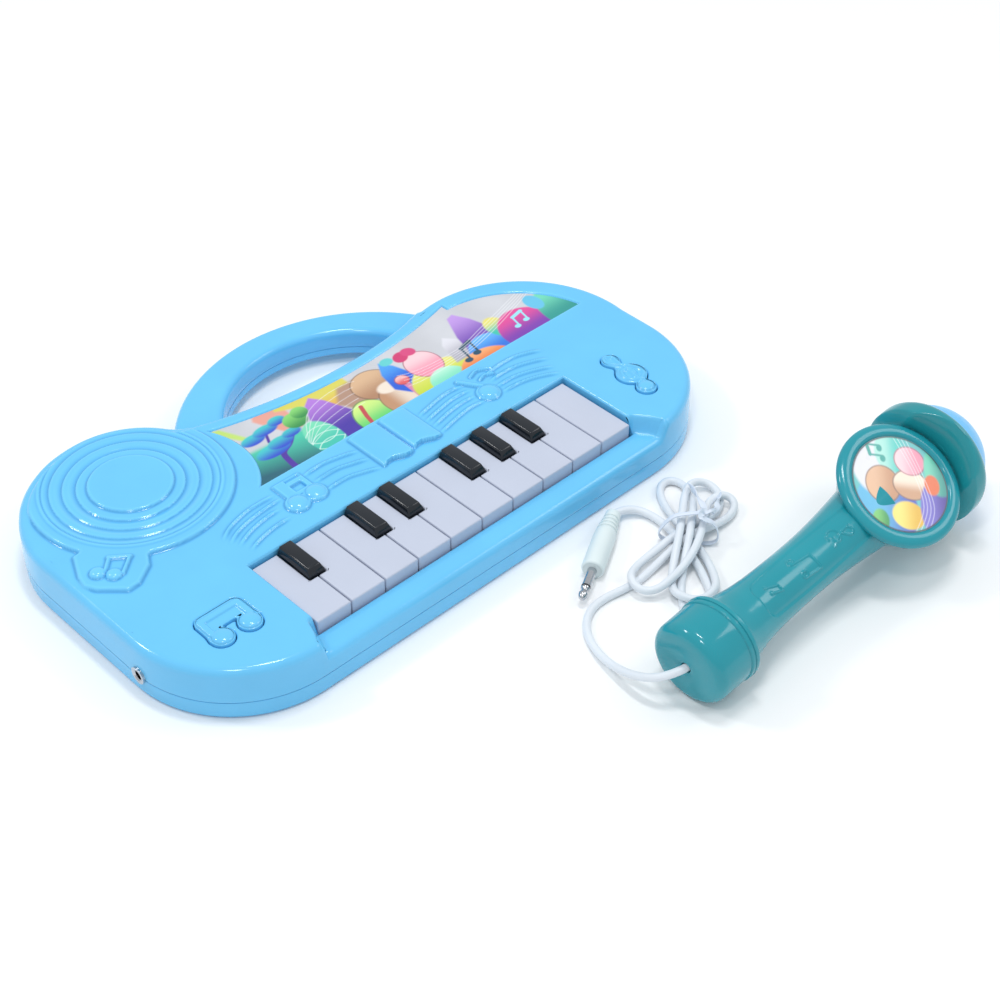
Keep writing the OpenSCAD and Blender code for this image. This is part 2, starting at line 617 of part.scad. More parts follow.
// ---- cord, tie and plug ----
// the cord's route, from the end of the microphone to the plug
cord_route = [
  [5, -164.7, 15.4], [1, -164.8, 15.2], [-3.5, -165, 14.5], [-7.5, -162.5, 13.5], [-9, -157, 11], [-8.5, -148, 6.5], [-7, -138, 2.5], [-5, -129, 1.5],
  [-1.5, -121, 1.5], [5, -114.5, 1.5], [13.5, -112, 1.5], [22, -115, 1.5], [31, -117.5, 1.5], [41, -114.5, 1.5], [50, -114.5, 3], [56, -115, 6],
  [63, -115.5, 6.3], [70.5, -116.5, 3.5], [79, -117, 1.5], [85.5, -117, 2], [90, -114, 3], [90.5, -108.5, 4.5], [86, -105, 5], [79, -106, 4.5],
  [72.5, -110.5, 7], [63.5, -118, 9], [55, -122.5, 6], [43.5, -125, 5], [33.5, -127.5, 5], [27.5, -127, 3], [24, -122.5, 3.5], [24.5, -117, 5],
  [29, -112, 3.5], [37, -109.5, 1.5], [47.5, -111, 3], [57, -111, 6.3], [65, -112, 6], [75.5, -113, 1.5], [85, -110, 1.5], [90.5, -104, 1.5],
  [91.5, -98, 1.5], [88, -93.5, 3.5], [82, -94, 5], [74, -99, 5.5], [65.5, -106, 8.5], [57.5, -112.5, 9.8], [51, -116.5, 7], [43.5, -121, 2],
  [35.5, -127, 1.5], [32, -133, 4.5], [33, -138.5, 4.5], [37.5, -142.5, 4.5], [43.5, -142.5, 5], [49.5, -138.5, 3], [56, -128.5, 1.5], [60.5, -118, 3],
  [62.5, -108, 3], [67.5, -96, 1.5], [71.5, -87.5, 1.5], [76, -83, 1.5], [81, -83, 1.5], [84.5, -87, 1.5], [83.5, -93.5, 1.5], [77, -101.5, 3.5],
  [68.5, -108.5, 8.5], [60, -115, 10.2], [54.5, -118.5, 7], [48.5, -122.5, 1.5], [39, -129, 1.5], [31, -136, 1.5], [28.5, -142, 1.5], [31.5, -147.5, 1.5],
  [37.5, -148.5, 1.5], [42.5, -143.5, 1.5], [49, -132.5, 1.5], [55, -120.5, 2.5], [58, -109.5, 3], [61.5, -99.5, 1.5], [61.5, -93.5, 1.5], [60, -88.5, 2.5],
  [56.5, -85.5, 3.5], [52.8, -84.9, 4.3], [49.1, -86.8, 4.3], [45, -89.1, 4.3]];
// the tie's route round the bundle, with its two free ends
tie_route = [
  [77.5, -98.5, 8.5], [73.5, -106, 10], [69.5, -112.5, 10.8], [66, -114, 11.8], [61.5, -112, 12.6], [57.5, -109, 12], [54.5, -106.5, 8], [53.5, -105.5, 3.5],
  [55.5, -107.5, 0.7], [59, -112, 0.7], [63.5, -118, 0.7], [67, -121.5, 2], [68, -121, 6], [66.5, -119.5, 10], [63.5, -117, 12.4], [65, -115.6, 13.6],
  [67.5, -116.5, 12.8], [71, -115.5, 10], [75, -114, 8], [79, -111.5, 7], [83.5, -108.5, 6.5]];
module mic_cord() { color([0.84, 0.87, 0.9]) tube(cord_route, cord_d / 2, 8); }
module cord_tie() { color([0.9, 0.93, 0.96]) tube(tie_route, 0.55, 6); }
module plug_place() { translate([7.8, -110.5, 4.3]) rotate([0, 0, 29.8]) along_x() children(); }
module plug_shaft() {
  color(STEEL) plug_place() rotate_extrude($fn = 48)
    polygon([[0, 0], [0.7, 0.1], [1.3, 0.8], [plug_d / 2, 2.2], [plug_d / 2, 2.8], [1.25, 3.9], [1.25, 4.6], [plug_d / 2, 5.4], [plug_d / 2, 5.9], [1.2, 5.9], [1.2, 6.6], [plug_d / 2, 6.6], [plug_d / 2, 15.48], [1.2, 15.48], [1.2, 20.5], [0, 20.5]]);
}
module plug_ring() {
  color([0.05, 0.05, 0.05]) plug_place() rotate_extrude($fn = 48) polygon([[1.25, 5.93], [plug_d / 2, 5.93], [plug_d / 2, 6.57], [1.25, 6.57]]);
}
// soft barrel with ribs at its back end
module plug_barrel() {
  color([0.82, 0.9, 0.9]) plug_place() rotate_extrude($fn = 64) polygon([
    [1.25, 15.5], [3.6, 15.5], [4.2, 16.3], [4.25, 17.5], [4.25, 32], [4.1, 35], [3.95, 36.4], [3.55, 36.4], [3.55, 37.3], [3.85, 37.3],
    [3.7, 38.6], [3.3, 38.6], [3.3, 39.5], [3.6, 39.5], [3.45, 40.8], [3.05, 40.8], [3.05, 41.7], [3.35, 41.7], [3.2, 43], [2.85, 43],
    [2.85, 43.9], [3.1, 43.9], [2.9, 46.8], [2.5, 47.5], [1.75, 47.5], [1.75, 41], [1.25, 39]]);
}

upper_case();
lower_case();
art_panel();
white_key_01();
white_key_02();
white_key_03();
white_key_04();
white_key_05();
white_key_06();
white_key_07();
white_key_08();
white_key_09();
white_key_10();
black_key_1();
black_key_2();
black_key_3();
black_key_4();
black_key_5();
black_key_6();
key_pivot_rod();
key_return_strip();
main_board();
board_parts();
note_button();
clef_button();
button_pads();
speaker_frame();
speaker_cone();
speaker_magnet();
jack_socket();
power_switch();
power_slider();
battery_cover();
battery_screw();
battery_contacts();
battery_cells();
case_screws();
speaker_leads();
battery_leads();
jack_leads();
mic_front_shell();
mic_back_shell();
mic_end_cap();
mic_badge_ring();
mic_badge();
mic_collar();
mic_dome();
mic_capsule();
mic_capsule_holder();
mic_screws();
mic_cord();
plug_barrel();
plug_ring();
plug_shaft();
cord_tie();
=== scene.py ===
import math
import bpy
import bmesh
import numpy as np
from mathutils import Matrix, Vector


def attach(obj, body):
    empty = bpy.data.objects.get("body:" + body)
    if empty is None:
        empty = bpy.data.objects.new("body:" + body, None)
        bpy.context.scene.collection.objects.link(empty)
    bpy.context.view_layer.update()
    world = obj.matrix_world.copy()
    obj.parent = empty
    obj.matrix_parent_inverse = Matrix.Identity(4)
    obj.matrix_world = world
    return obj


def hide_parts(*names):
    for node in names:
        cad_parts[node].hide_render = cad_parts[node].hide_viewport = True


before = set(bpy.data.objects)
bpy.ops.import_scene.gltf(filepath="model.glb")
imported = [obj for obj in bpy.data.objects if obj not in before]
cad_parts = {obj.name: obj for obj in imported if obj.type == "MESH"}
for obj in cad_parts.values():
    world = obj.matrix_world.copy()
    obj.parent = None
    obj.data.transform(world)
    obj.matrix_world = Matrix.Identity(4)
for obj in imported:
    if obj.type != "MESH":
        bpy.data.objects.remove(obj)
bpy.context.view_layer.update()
MM = 0.001
rng = np.random.default_rng(7)

# ------------------------------------------------------------------ camera
scene = bpy.context.scene
cam_data = bpy.data.cameras.new("camera")
cam = bpy.data.objects.new("camera", cam_data)
scene.collection.objects.link(cam)
cam_data.lens = 69.02
cam_data.sensor_width = 36.0
cam_data.clip_end = 20.0
cam_data.clip_start = 0.01
R_ = Vector((0.72140, -0.69250, 0.0)).normalized()
B_ = Vector((-0.52180, -0.54350, 0.65750)).normalized()
U_ = B_.cross(R_).normalized()
R_ = U_.cross(B_).normalized()
m = Matrix(((R_.x, U_.x, B_.x, -0.3483), (R_.y, U_.y, B_.y, -0.4402), (R_.z, U_.z, B_.z, 0.4734), (0, 0, 0, 1)))
cam.matrix_world = m
scene.camera = cam


# ------------------------------------------------------------------ materials
def srgb(r, g, b):
    def f(c):
        c = c / 255.0
        return c / 12.92 if c <= 0.04045 else ((c + 0.055) / 1.055) ** 2.4
    return (f(r), f(g), f(b), 1.0)


def plastic(name, col, rough=0.28, var=0.05, grain=0.35, grain_mm=0.9, cloud_mm=22, attr=None, coat=0.0, metal=0.0, ior=1.5, sss=0.0, scratch=0.0, dirt=None):
    """moulded plastic: cloudy colour, fine surface grain in bump and roughness, faint rub marks"""
    mt = bpy.data.materials.new(name)
    mt.use_nodes = True
    nt = mt.node_tree
    n = nt.nodes
    l = nt.links
    bs = n["Principled BSDF"]
    tc = n.new("ShaderNodeTexCoord")
    cloud = n.new("ShaderNodeTexNoise")
    cloud.inputs["Scale"].default_value = 1000.0 / cloud_mm
    cloud.inputs["Detail"].default_value = 3
    l.new(tc.outputs["Object"], cloud.inputs["Vector"])
    mix = n.new("ShaderNodeMix")
    mix.data_type = "RGBA"
    mix.blend_type = "MIX"
    mp = n.new("ShaderNodeMapRange")
    mp.inputs["From Min"].default_value = 0.3
    mp.inputs["From Max"].default_value = 0.7
    l.new(cloud.outputs["Fac"], mp.inputs["Value"])
    l.new(mp.outputs["Result"], mix.inputs["Factor"])
    if attr:
        at = n.new("ShaderNodeAttribute")
        at.attribute_name = attr
        hs1 = n.new("ShaderNodeHueSaturation")
        hs1.inputs["Value"].default_value = 1.0 - var
        hs2 = n.new("ShaderNodeHueSaturation")
        hs2.inputs["Value"].default_value = 1.0 + var * 0.5
        l.new(at.outputs["Color"], hs1.inputs["Color"])
        l.new(at.outputs["Color"], hs2.inputs["Color"])
        l.new(hs1.outputs["Color"], mix.inputs["A"])
        l.new(hs2.outputs["Color"], mix.inputs["B"])
    else:
        mix.inputs["A"].default_value = tuple(max(0, c * (1 - var)) for c in col[:3]) + (1,)
        mix.inputs["B"].default_value = tuple(min(1, c * (1 + var * 0.6)) for c in col[:3]) + (1,)
    last = mix.outputs["Result"]
    if dirt:
        dn = n.new("ShaderNodeTexNoise")
        dn.inputs["Scale"].default_value = 1000.0 / 6
        dn.inputs["Detail"].default_value = 6
        dn.inputs["Roughness"].default_value = 0.7
        l.new(tc.outputs["Object"], dn.inputs["Vector"])
        dm = n.new("ShaderNodeMapRange")
        dm.inputs["From Min"].default_value = 0.55
        dm.inputs["From Max"].default_value = 0.75
        dm.inputs["To Max"].default_value = dirt[1]
        l.new(dn.outputs["Fac"], dm.inputs["Value"])
        m2 = n.new("ShaderNodeMix")
        m2.data_type = "RGBA"
        l.new(dm.outputs["Result"], m2.inputs["Factor"])
        l.new(last, m2.inputs["A"])
        m2.inputs["B"].default_value = dirt[0]
        last = m2.outputs["Result"]
    l.new(last, bs.inputs["Base Color"])
    fine = n.new("ShaderNodeTexNoise")
    fine.inputs["Scale"].default_value = 1000.0 / grain_mm
    fine.inputs["Detail"].default_value = 2
    l.new(tc.outputs["Object"], fine.inputs["Vector"])
    wav = n.new("ShaderNodeTexNoise")
    wav.inputs["Scale"].default_value = 1000.0 / 9.0
    wav.inputs["Detail"].default_value = 2
    l.new(tc.outputs["Object"], wav.inputs["Vector"])
    b1 = n.new("ShaderNodeBump")
    b1.inputs["Strength"].default_value = grain
    b1.inputs["Distance"].default_value = 0.00002
    l.new(fine.outputs["Fac"], b1.inputs["Height"])
    b2 = n.new("ShaderNodeBump")
    b2.inputs["Strength"].default_value = 0.35
    b2.inputs["Distance"].default_value = 0.00006
    l.new(wav.outputs["Fac"], b2.inputs["Height"])
    l.new(b1.outputs["Normal"], b2.inputs["Normal"])
    l.new(b2.outputs["Normal"], bs.inputs["Normal"])
    rr = n.new("ShaderNodeMapRange")
    rr.inputs["From Min"].default_value = 0.25
    rr.inputs["From Max"].default_value = 0.75
    rr.inputs["To Min"].default_value = max(0.03, rough - 0.05)
    rr.inputs["To Max"].default_value = min(1.0, rough + 0.07)
    l.new(cloud.outputs["Fac"], rr.inputs["Value"])
    rl = rr.outputs["Result"]
    if scratch:
        sc = n.new("ShaderNodeTexNoise")
        sc.inputs["Scale"].default_value = 1.0
        sc.inputs["Detail"].default_value = 4
        mpn = n.new("ShaderNodeMapping")
        mpn.inputs["Scale"].default_value = (90, 900, 200)
        mpn.inputs["Rotation"].default_value = (0, 0, 0.6)
        l.new(tc.outputs["Object"], mpn.inputs["Vector"])
        l.new(mpn.outputs["Vector"], sc.inputs["Vector"])
        sm = n.new("ShaderNodeMapRange")
        sm.inputs["From Min"].default_value = 0.62
        sm.inputs["From Max"].default_value = 0.72
        sm.inputs["To Max"].default_value = scratch
        l.new(sc.outputs["Fac"], sm.inputs["Value"])
        ad = n.new("ShaderNodeMath")
        ad.operation = "ADD"
        l.new(rl, ad.inputs[0])
        l.new(sm.outputs["Result"], ad.inputs[1])
        rl = ad.outputs["Value"]
    l.new(rl, bs.inputs["Roughness"])
    bs.inputs["Metallic"].default_value = metal
    bs.inputs["IOR"].default_value = ior
    if coat:
        bs.inputs["Coat Weight"].default_value = coat
        bs.inputs["Coat Roughness"].default_value = 0.12
    if sss:
        bs.inputs["Subsurface Weight"].default_value = sss
        bs.inputs["Subsurface Radius"].default_value = (0.0012, 0.0016, 0.0022)
        bs.inputs["Subsurface Scale"].default_value = 1.0
    return mt


BODY = plastic("body_blue", srgb(104, 193, 240), rough=0.13, var=0.035, grain=0.25, scratch=0.06)
# base colour from the vertex colour attribute, which on the case top holds painted crease shade and crest highlight
BODYTOP = plastic("body_blue_relief", srgb(104, 193, 240), rough=0.13, var=0.035, grain=0.25, scratch=0.06, attr="print_and_painted_shading")
WHITEKEY = plastic("key_white", srgb(190, 197, 214), rough=0.33, var=0.02, grain=0.3, scratch=0.05)
BLACKKEY = plastic("key_black", srgb(20, 26, 34), rough=0.16, var=0.12, grain=0.4, scratch=0.12)
TEALM = plastic("mic_teal", srgb(30, 146, 160), rough=0.13, var=0.05, grain=0.2, scratch=0.06)
TEALD = plastic("mic_collar_teal", srgb(28, 140, 150), rough=0.15, var=0.05, grain=0.2, scratch=0.06)
DOME = plastic("dome_blue", srgb(110, 190, 240), rough=0.3, var=0.04, grain=0.3)
CORD = plastic("cord_white", srgb(222, 229, 236), rough=0.38, var=0.03, grain=0.5, grain_mm=0.5, cloud_mm=12)
PLUGM = plastic("plug_white", srgb(218, 230, 231), rough=0.42, var=0.03, grain=0.5, grain_mm=0.6)
TIEM = plastic("tie_white", srgb(216, 226, 240), rough=0.4, var=0.03, grain=0.3)
PRINT = plastic("printed_film", (0.5, 0.5, 0.5, 1), rough=0.3, var=0.05, grain=0.25, grain_mm=0.5, attr="print_and_painted_shading", coat=0.35)
METAL = plastic("plated", srgb(196, 198, 202), rough=0.18, var=0.05, grain=0.3, metal=1.0, scratch=0.15, dirt=(srgb(120, 112, 100), 0.35))
STEELM = plastic("steel_bright", srgb(170, 172, 176), rough=0.3, var=0.06, grain=0.5, metal=1.0, scratch=0.2)
DARKM = plastic("black_parts", srgb(26, 27, 29), rough=0.5, var=0.15, grain=0.6)
BOARD = plastic("laminate_green", srgb(28, 98, 58), rough=0.4, var=0.12, grain=0.5, cloud_mm=6)
RUBBER = plastic("soft_rubber", srgb(176, 176, 170), rough=0.6, var=0.06, grain=0.7)
PAPER = plastic("cone_paper", srgb(42, 42, 42), rough=0.8, var=0.2, grain=1.0, grain_mm=1.5)
CELL = plastic("cell_jacket", srgb(70, 74, 80), rough=0.3, var=0.1, grain=0.3, metal=0.4)
RED = plastic("lead_red", srgb(186, 34, 28), rough=0.45, var=0.06)
BLACKL = plastic("lead_black", srgb(25, 25, 25), rough=0.45, var=0.1)
YELLOW = plastic("lead_yellow", srgb(214, 190, 60), rough=0.45, var=0.06)


# ------------------------------------------------------------------ mesh helpers (all in millimetres until make())
def make(name, verts, faces, mat, sharp=38, attrs=None, place=None, recalc=True):
    v = np.asarray(verts, float)
    if place is not None:
        v = v @ np.array(place.to_3x3()).T + np.array(place.translation)
    me = bpy.data.meshes.new(name)
    me.from_pydata((v * MM).tolist(), [], faces)
    if attrs is not None:
        # vertex colour attribute: print on the film and badge, painted crease shade and crest highlight on the case top
        ca = me.color_attributes.new(name="print_and_painted_shading", type="FLOAT_COLOR", domain="POINT")
        buf = np.ones((len(v), 4), np.float32)
        buf[:, :3] = attrs
        ca.data.foreach_set("color", buf.ravel())
    bm = bmesh.new()
    bm.from_mesh(me)
    if recalc:
        bmesh.ops.recalc_face_normals(bm, faces=bm.faces)
    lim = math.radians(sharp)
    for e in bm.edges:
        e.smooth = not (len(e.link_faces) == 2 and e.calc_face_angle(0) > lim)
    for f in bm.faces:
        f.smooth = True
    bm.to_mesh(me)
    bm.free()
    me.validate()
    ob = bpy.data.objects.new(name, me)
    scene.collection.objects.link(ob)
    me.materials.append(mat)
    return ob


def newton(F, p, level, it=4):
    h = 0.02
    p = p.copy()
    for _ in range(it):
        g = np.stack([F(p[:, 0] + h, p[:, 1]) - F(p[:, 0] - h, p[:, 1]), F(p[:, 0], p[:, 1] + h) - F(p[:, 0], p[:, 1] - h)], 1) / (2 * h)
        n2 = np.maximum((g * g).sum(1), 0.09)
        d = F(p[:, 0], p[:, 1]) - level
        p = p - g * (np.clip(d, -2, 2) / n2)[:, None]
    return p


def contours(F, box, step=1.0, ds=1.2, smooth=1):
    """closed outlines of F = 0 inside box, evenly spaced points, anticlockwise"""
    xs = np.arange(box[0], box[1] + step, step)
    ys = np.arange(box[2], box[3] + step, step)
    X, Y = np.meshgrid(xs, ys, indexing="ij")
    V = F(X, Y) + 1e-7
    S = V < 0
    pts = {}
    adj = {}

    def ex(i, j, a):
        k = (i, j, a)
        if k not in pts:
            if a == 0:
                t = V[i, j] / (V[i, j] - V[i + 1, j])
                pts[k] = (xs[i] + t * step, ys[j])
            else:
                t = V[i, j] / (V[i, j] - V[i, j + 1])
                pts[k] = (xs[i], ys[j] + t * step)
        return k
    cx = (S[:-1, :-1].astype(int) + S[1:, :-1] + S[:-1, 1:] + S[1:, 1:])
    for i, j in zip(*np.nonzero((cx > 0) & (cx < 4))):
        e = []
        if S[i, j] != S[i + 1, j]:
            e.append(ex(i, j, 0))
        if S[i + 1, j] != S[i + 1, j + 1]:
            e.append(ex(i + 1, j, 1))
        if S[i, j + 1] != S[i + 1, j + 1]:
            e.append(ex(i, j + 1, 0))
        if S[i, j] != S[i, j + 1]:
            e.append(ex(i, j, 1))
        for a, b in ([(e[0], e[1])] if len(e) == 2 else [(e[0], e[1]), (e[2], e[3])]):
            adj.setdefault(a, []).append(b)
            adj.setdefault(b, []).append(a)
    out = []
    seen = set()
    for k0 in list(adj):
        if k0 in seen:
            continue
        loop = [k0]
        seen.add(k0)
        cur = k0
        while True:
            nx = [q for q in adj[cur] if q not in seen]
            if not nx:
                break
            cur = nx[0]
            seen.add(cur)
            loop.append(cur)
        if len(loop) < 6:
            continue
        P = np.array([pts[k] for k in loop])
        P = newton(F, P, 0.0)
        Q = np.vstack([P, P[:1]])
        L = np.r_[0, np.cumsum(np.linalg.norm(np.diff(Q, axis=0), axis=1))]
        n = max(12, int(L[-1] / ds))
        t = np.linspace(0, L[-1], n, endpoint=False)
        P = np.stack([np.interp(t, L, Q[:, 0]), np.interp(t, L, Q[:, 1])], 1)
        for _ in range(smooth):
            P = 0.25 * np.roll(P, 1, 0) + 0.5 * P + 0.25 * np.roll(P, -1, 0)
        area = 0.5 * np.sum(P[:, 0] * np.roll(P[:, 1], -1) - np.roll(P[:, 0], -1) * P[:, 1])
        if area < 0:
            P = P[::-1]
        out.append(P)
    out.sort(key=lambda p: -len(p))
    return out


class Build:
    def __init__(self):
        self.v = []
        self.f = []
        self.n = 0

    def add(self, pts):
        pts = np.asarray(pts, float)
        self.v.append(pts)
        a = self.n
        self.n += len(pts)
        return a

    def rings(self, loops, close=True):
        """loops of equal length joined by quads; returns the start index of each"""
        ids = [self.add(L) for L in loops]
        k = len(loops[0])
        for a, b in zip(ids[:-1], ids[1:]):
            for i in range(k if close else k - 1):
                j = (i + 1) % k
                self.f.append((a + i, a + j, b + j, b + i))
        return ids

    def cap(self, start, k, flip=False):
        idx = list(range(start, start + k))
        self.f.append(tuple(idx[::-1] if flip else idx))

    def grid(self, F, T, box, step, xlines=(), ylines=(), hole=None, attr=None):
        """height field over F < 0, edges snapped to the outline; hole is a rectangle left out"""
        def lines(a, b, extra):
            e = sorted(set([a, b] + [q for q in extra if a < q < b]))
            out = []
            for p, q in zip(e[:-1], e[1:]):
                n = max(1, int(round((q - p) / step)))
                out += list(np.linspace(p, q, n, endpoint=False))
            return np.array(out + [b])
        xs = lines(box[0], box[1], xlines)
        ys = lines(box[2], box[3], ylines)
        X, Y = np.meshgrid(xs, ys, indexing="ij")
        V = F(X, Y)
        inside = V < 0
        P = np.stack([X, Y], 2)
        near = (~inside) & (V < step * 2.2)
        pp = newton(F, P[near], 0.0, 5)
        P[near] = pp
        # a cell is kept when one of its corners is inside and every corner is inside or was snapped onto the outline
        cell = (inside[:-1, :-1].astype(int) + inside[1:, :-1] + inside[:-1, 1:] + inside[1:, 1:])
        keep = cell > 0
        ok = inside | near
        keep &= ok[:-1, :-1] & ok[1:, :-1] & ok[:-1, 1:] & ok[1:, 1:]
        if hole:
            xc = (xs[:-1] + xs[1:]) / 2
            yc = (ys[:-1] + ys[1:]) / 2
            hx = (xc > hole[0]) & (xc < hole[1])
            hy = (yc > hole[2]) & (yc < hole[3])
            keep &= ~(hx[:, None] & hy[None, :])
        used = np.zeros_like(inside)
        used[:-1, :-1] |= keep
        used[1:, :-1] |= keep
        used[:-1, 1:] |= keep
        used[1:, 1:] |= keep
        idx = -np.ones(used.shape, int)
        idx[used] = np.arange(used.sum())
        q = P[used]
        z = T(q[:, 0], q[:, 1])
        a = self.add(np.column_stack([q, z]))
        ii, jj = np.nonzero(keep)
        F4 = np.stack([idx[ii, jj], idx[ii + 1, jj], idx[ii + 1, jj + 1], idx[ii, jj + 1]], 1) + a
        self.f += [tuple(r) for r in F4.tolist()]
        return a, q

    def out(self):
        return np.vstack(self.v), self.f


def circ(x, y, cx, cy, r):
    return np.hypot(x - cx, y - cy) - r


def rect(x, y, x0, x1, y0, y1):
    dx = np.maximum(x0 - x, x - x1)
    dy = np.maximum(y0 - y, y - y1)
    return np.where((dx > 0) & (dy > 0), np.hypot(np.maximum(dx, 0), np.maximum(dy, 0)), np.maximum(dx, dy))


def smin(a, b, k=1.2):
    h = np.clip(0.5 + 0.5 * (b - a) / k, 0, 1)
    return b * (1 - h) + a * h - k * h * (1 - h)


def seg(x, y, pts, r):
    """distance to a polyline less r"""
    best = np.full(np.shape(x), 1e9)
    for (ax, ay), (bx, by) in zip(pts[:-1], pts[1:]):
        vx, vy = bx - ax, by - ay
        t = np.clip(((x - ax) * vx + (y - ay) * vy) / (vx * vx + vy * vy + 1e-12), 0, 1)
        best = np.minimum(best, np.hypot(x - ax - t * vx, y - ay - t * vy))
    return best - r


def poly(x, y, P):
    """signed distance to a closed polygon"""
    P = [tuple(p) for p in P]
    d = seg(x, y, P + [P[0]], 0)
    ins = np.zeros(np.shape(x), bool)
    n = len(P)
    for i in range(n):
        x1, y1 = P[i]
        x2, y2 = P[(i + 1) % n]
        c = ((y1 > y) != (y2 > y)) & (x < (x2 - x1) * (y - y1) / ((y2 - y1) if y2 != y1 else 1e-9) + x1)
        ins ^= c
    return np.where(ins, -d, d)


def smooth(a):
    a = np.clip(a, 0, 1)
    return a * a * (3 - 2 * a)


def spline(pts, m=8):
    P = np.array(pts, float)
    out = []
    n = len(P)
    for i in range(n - 1):
        a, b, c, d = P[max(i - 1, 0)], P[i], P[i + 1], P[min(i + 2, n - 1)]
        for k in range(m):
            t = k / m
            out.append(0.5 * (2 * b + t * (c - a) + t * t * (2 * a - 5 * b + 4 * c - d) + t ** 3 * (3 * b - a - 3 * c + d)))
    out.append(P[-1])
    return np.array(out)


# ------------------------------------------------------------------ cord first
ROUTE = [
    (5, -164.7, 15.4), (1, -164.8, 15.2), (-3.5, -165, 14.5), (-7.5, -162.5, 13.5), (-9, -157, 11), (-8.5, -148, 6.5), (-7, -138, 2.5), (-5, -129, 1.5), (-1.5, -121, 1.5), (5, -114.5, 1.5), (13.5, -112, 1.5),
    (22, -115, 1.5), (31, -117.5, 1.5), (41, -114.5, 1.5), (50, -114.5, 3), (56, -115, 6), (63, -115.5, 6.3), (70.5, -116.5, 3.5), (79, -117, 1.5), (85.5, -117, 2),
    (90, -114, 3), (90.5, -108.5, 4.5), (86, -105, 5), (79, -106, 4.5), (72.5, -110.5, 7), (63.5, -118, 9), (55, -122.5, 6), (43.5, -125, 5), (33.5, -127.5, 5),
    (27.5, -127, 3), (24, -122.5, 3.5), (24.5, -117, 5), (29, -112, 3.5), (37, -109.5, 1.5), (47.5, -111, 3), (57, -111, 6.3), (65, -112, 6),
    (75.5, -113, 1.5), (85, -110, 1.5), (90.5, -104, 1.5), (91.5, -98, 1.5), (88, -93.5, 3.5), (82, -94, 5), (74, -99, 5.5), (65.5, -106, 8.5),
    (57.5, -112.5, 9.8), (51, -116.5, 7), (43.5, -121, 2), (35.5, -127, 1.5), (32, -133, 4.5), (33, -138.5, 4.5), (37.5, -142.5, 4.5), (43.5, -142.5, 5),
    (49.5, -138.5, 3), (56, -128.5, 1.5), (60.5, -118, 3), (62.5, -108, 3), (67.5, -96, 1.5), (71.5, -87.5, 1.5), (76, -83, 1.5), (81, -83, 1.5),
    (84.5, -87, 1.5), (83.5, -93.5, 1.5), (77, -101.5, 3.5), (68.5, -108.5, 8.5), (60, -115, 10.2), (54.5, -118.5, 7), (48.5, -122.5, 1.5), (39, -129, 1.5), (31, -136, 1.5),
    (28.5, -142, 1.5), (31.5, -147.5, 1.5), (37.5, -148.5, 1.5), (42.5, -143.5, 1.5), (49, -132.5, 1.5), (55, -120.5, 2.5), (58, -109.5, 3), (61.5, -99.5, 1.5),
    (61.5, -93.5, 1.5), (60, -88.5, 2.5), (56.5, -85.5, 3.5), (52.8, -84.9, 4.3), (49.1, -86.8, 4.3), (45, -89.1, 4.3)]


def even(P, step):
    L = np.r_[0, np.cumsum(np.linalg.norm(np.diff(P, axis=0), axis=1))]
    n = int(round(L[-1] / step))
    t = np.linspace(0, L[-1], n + 1)
    return np.stack([np.interp(t, L, P[:, k]) for k in range(3)], 1)


CP = even(spline(ROUTE, 10), 1.6)
hold = CP.copy()
for _ in range(26):
    q = CP.copy()
    CP[1:-1] = 0.25 * q[:-2] + 0.5 * q[1:-1] + 0.25 * q[2:]
    CP[:3] = hold[:3]
    CP[-3:] = hold[-3:]
    CP[:, 2] = np.maximum(CP[:, 2], 1.5)
# keep crossings apart: short pushes between strands that come closer than a diameter
nC = len(CP)
ix = np.arange(nC)
farm = np.abs(ix[:, None] - ix[None]) > 8
for _ in range(60):
    D = CP[:, None] - CP[None]
    dd = np.linalg.norm(D, axis=2) + 1e-9
    mk = (dd < 3.12) & farm
    if not mk.any():
        break
    push = np.where(mk, (3.12 - dd) / dd * 0.25, 0)
    mv = np.clip((D * push[:, :, None]).sum(1), -0.2, 0.2)
    mv[:4] = 0
    mv[-4:] = 0
    CP += mv
    q = CP.copy()
    CP[4:-4] = 0.1 * q[3:-5] + 0.8 * q[4:-4] + 0.1 * q[5:-3]
    CP[:, 2] = np.maximum(CP[:, 2], 1.5)
CPs = CP[::2] if (nC % 2) else np.vstack([CP[::2], CP[-1:]])


def curve_piece(name, pts, r, mat, res=6):
    cu = bpy.data.curves.new(name, "CURVE")
    cu.dimensions = "3D"
    cu.bevel_depth = r * MM
    cu.bevel_resolution = res
    cu.use_fill_caps = True
    sp = cu.splines.new("POLY")
    sp.points.add(len(pts) - 1)
    for i, p in enumerate(pts):
        sp.points[i].co = (p[0] * MM, p[1] * MM, p[2] * MM, 1)
    sp.use_smooth = True
    ob = bpy.data.objects.new(name, cu)
    scene.collection.objects.link(ob)
    cu.materials.append(mat)
    return ob


cord = curve_piece("mic_cord_round", CP, 1.5, CORD)
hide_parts("mic_cord")
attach(cord, "microphone")


# lathe about local X: profile of (x, r), closed round the axis ends when r = 0
def lathe(name, prof, mat, place=None, n=96, sharp=38, fine=None):
    P = np.array(prof, float)
    a = np.linspace(0, 2 * np.pi, n, endpoint=False)
    b = Build()
    loops = []
    for x, r in P:
        loops.append(np.stack([np.full(n, x), r * np.cos(a), r * np.sin(a)], 1))
    ids = b.rings(loops)
    b.cap(ids[0], n, True)
    b.cap(ids[-1], n)
    v, f = b.out()
    return make(name, v, f, mat, sharp=sharp, place=place)


def arc(cx, cy, r, a0, a1, n=6):
    t = np.radians(np.linspace(a0, a1, n))
    return [(cx + r * math.cos(q), cy + r * math.sin(q)) for q in t]


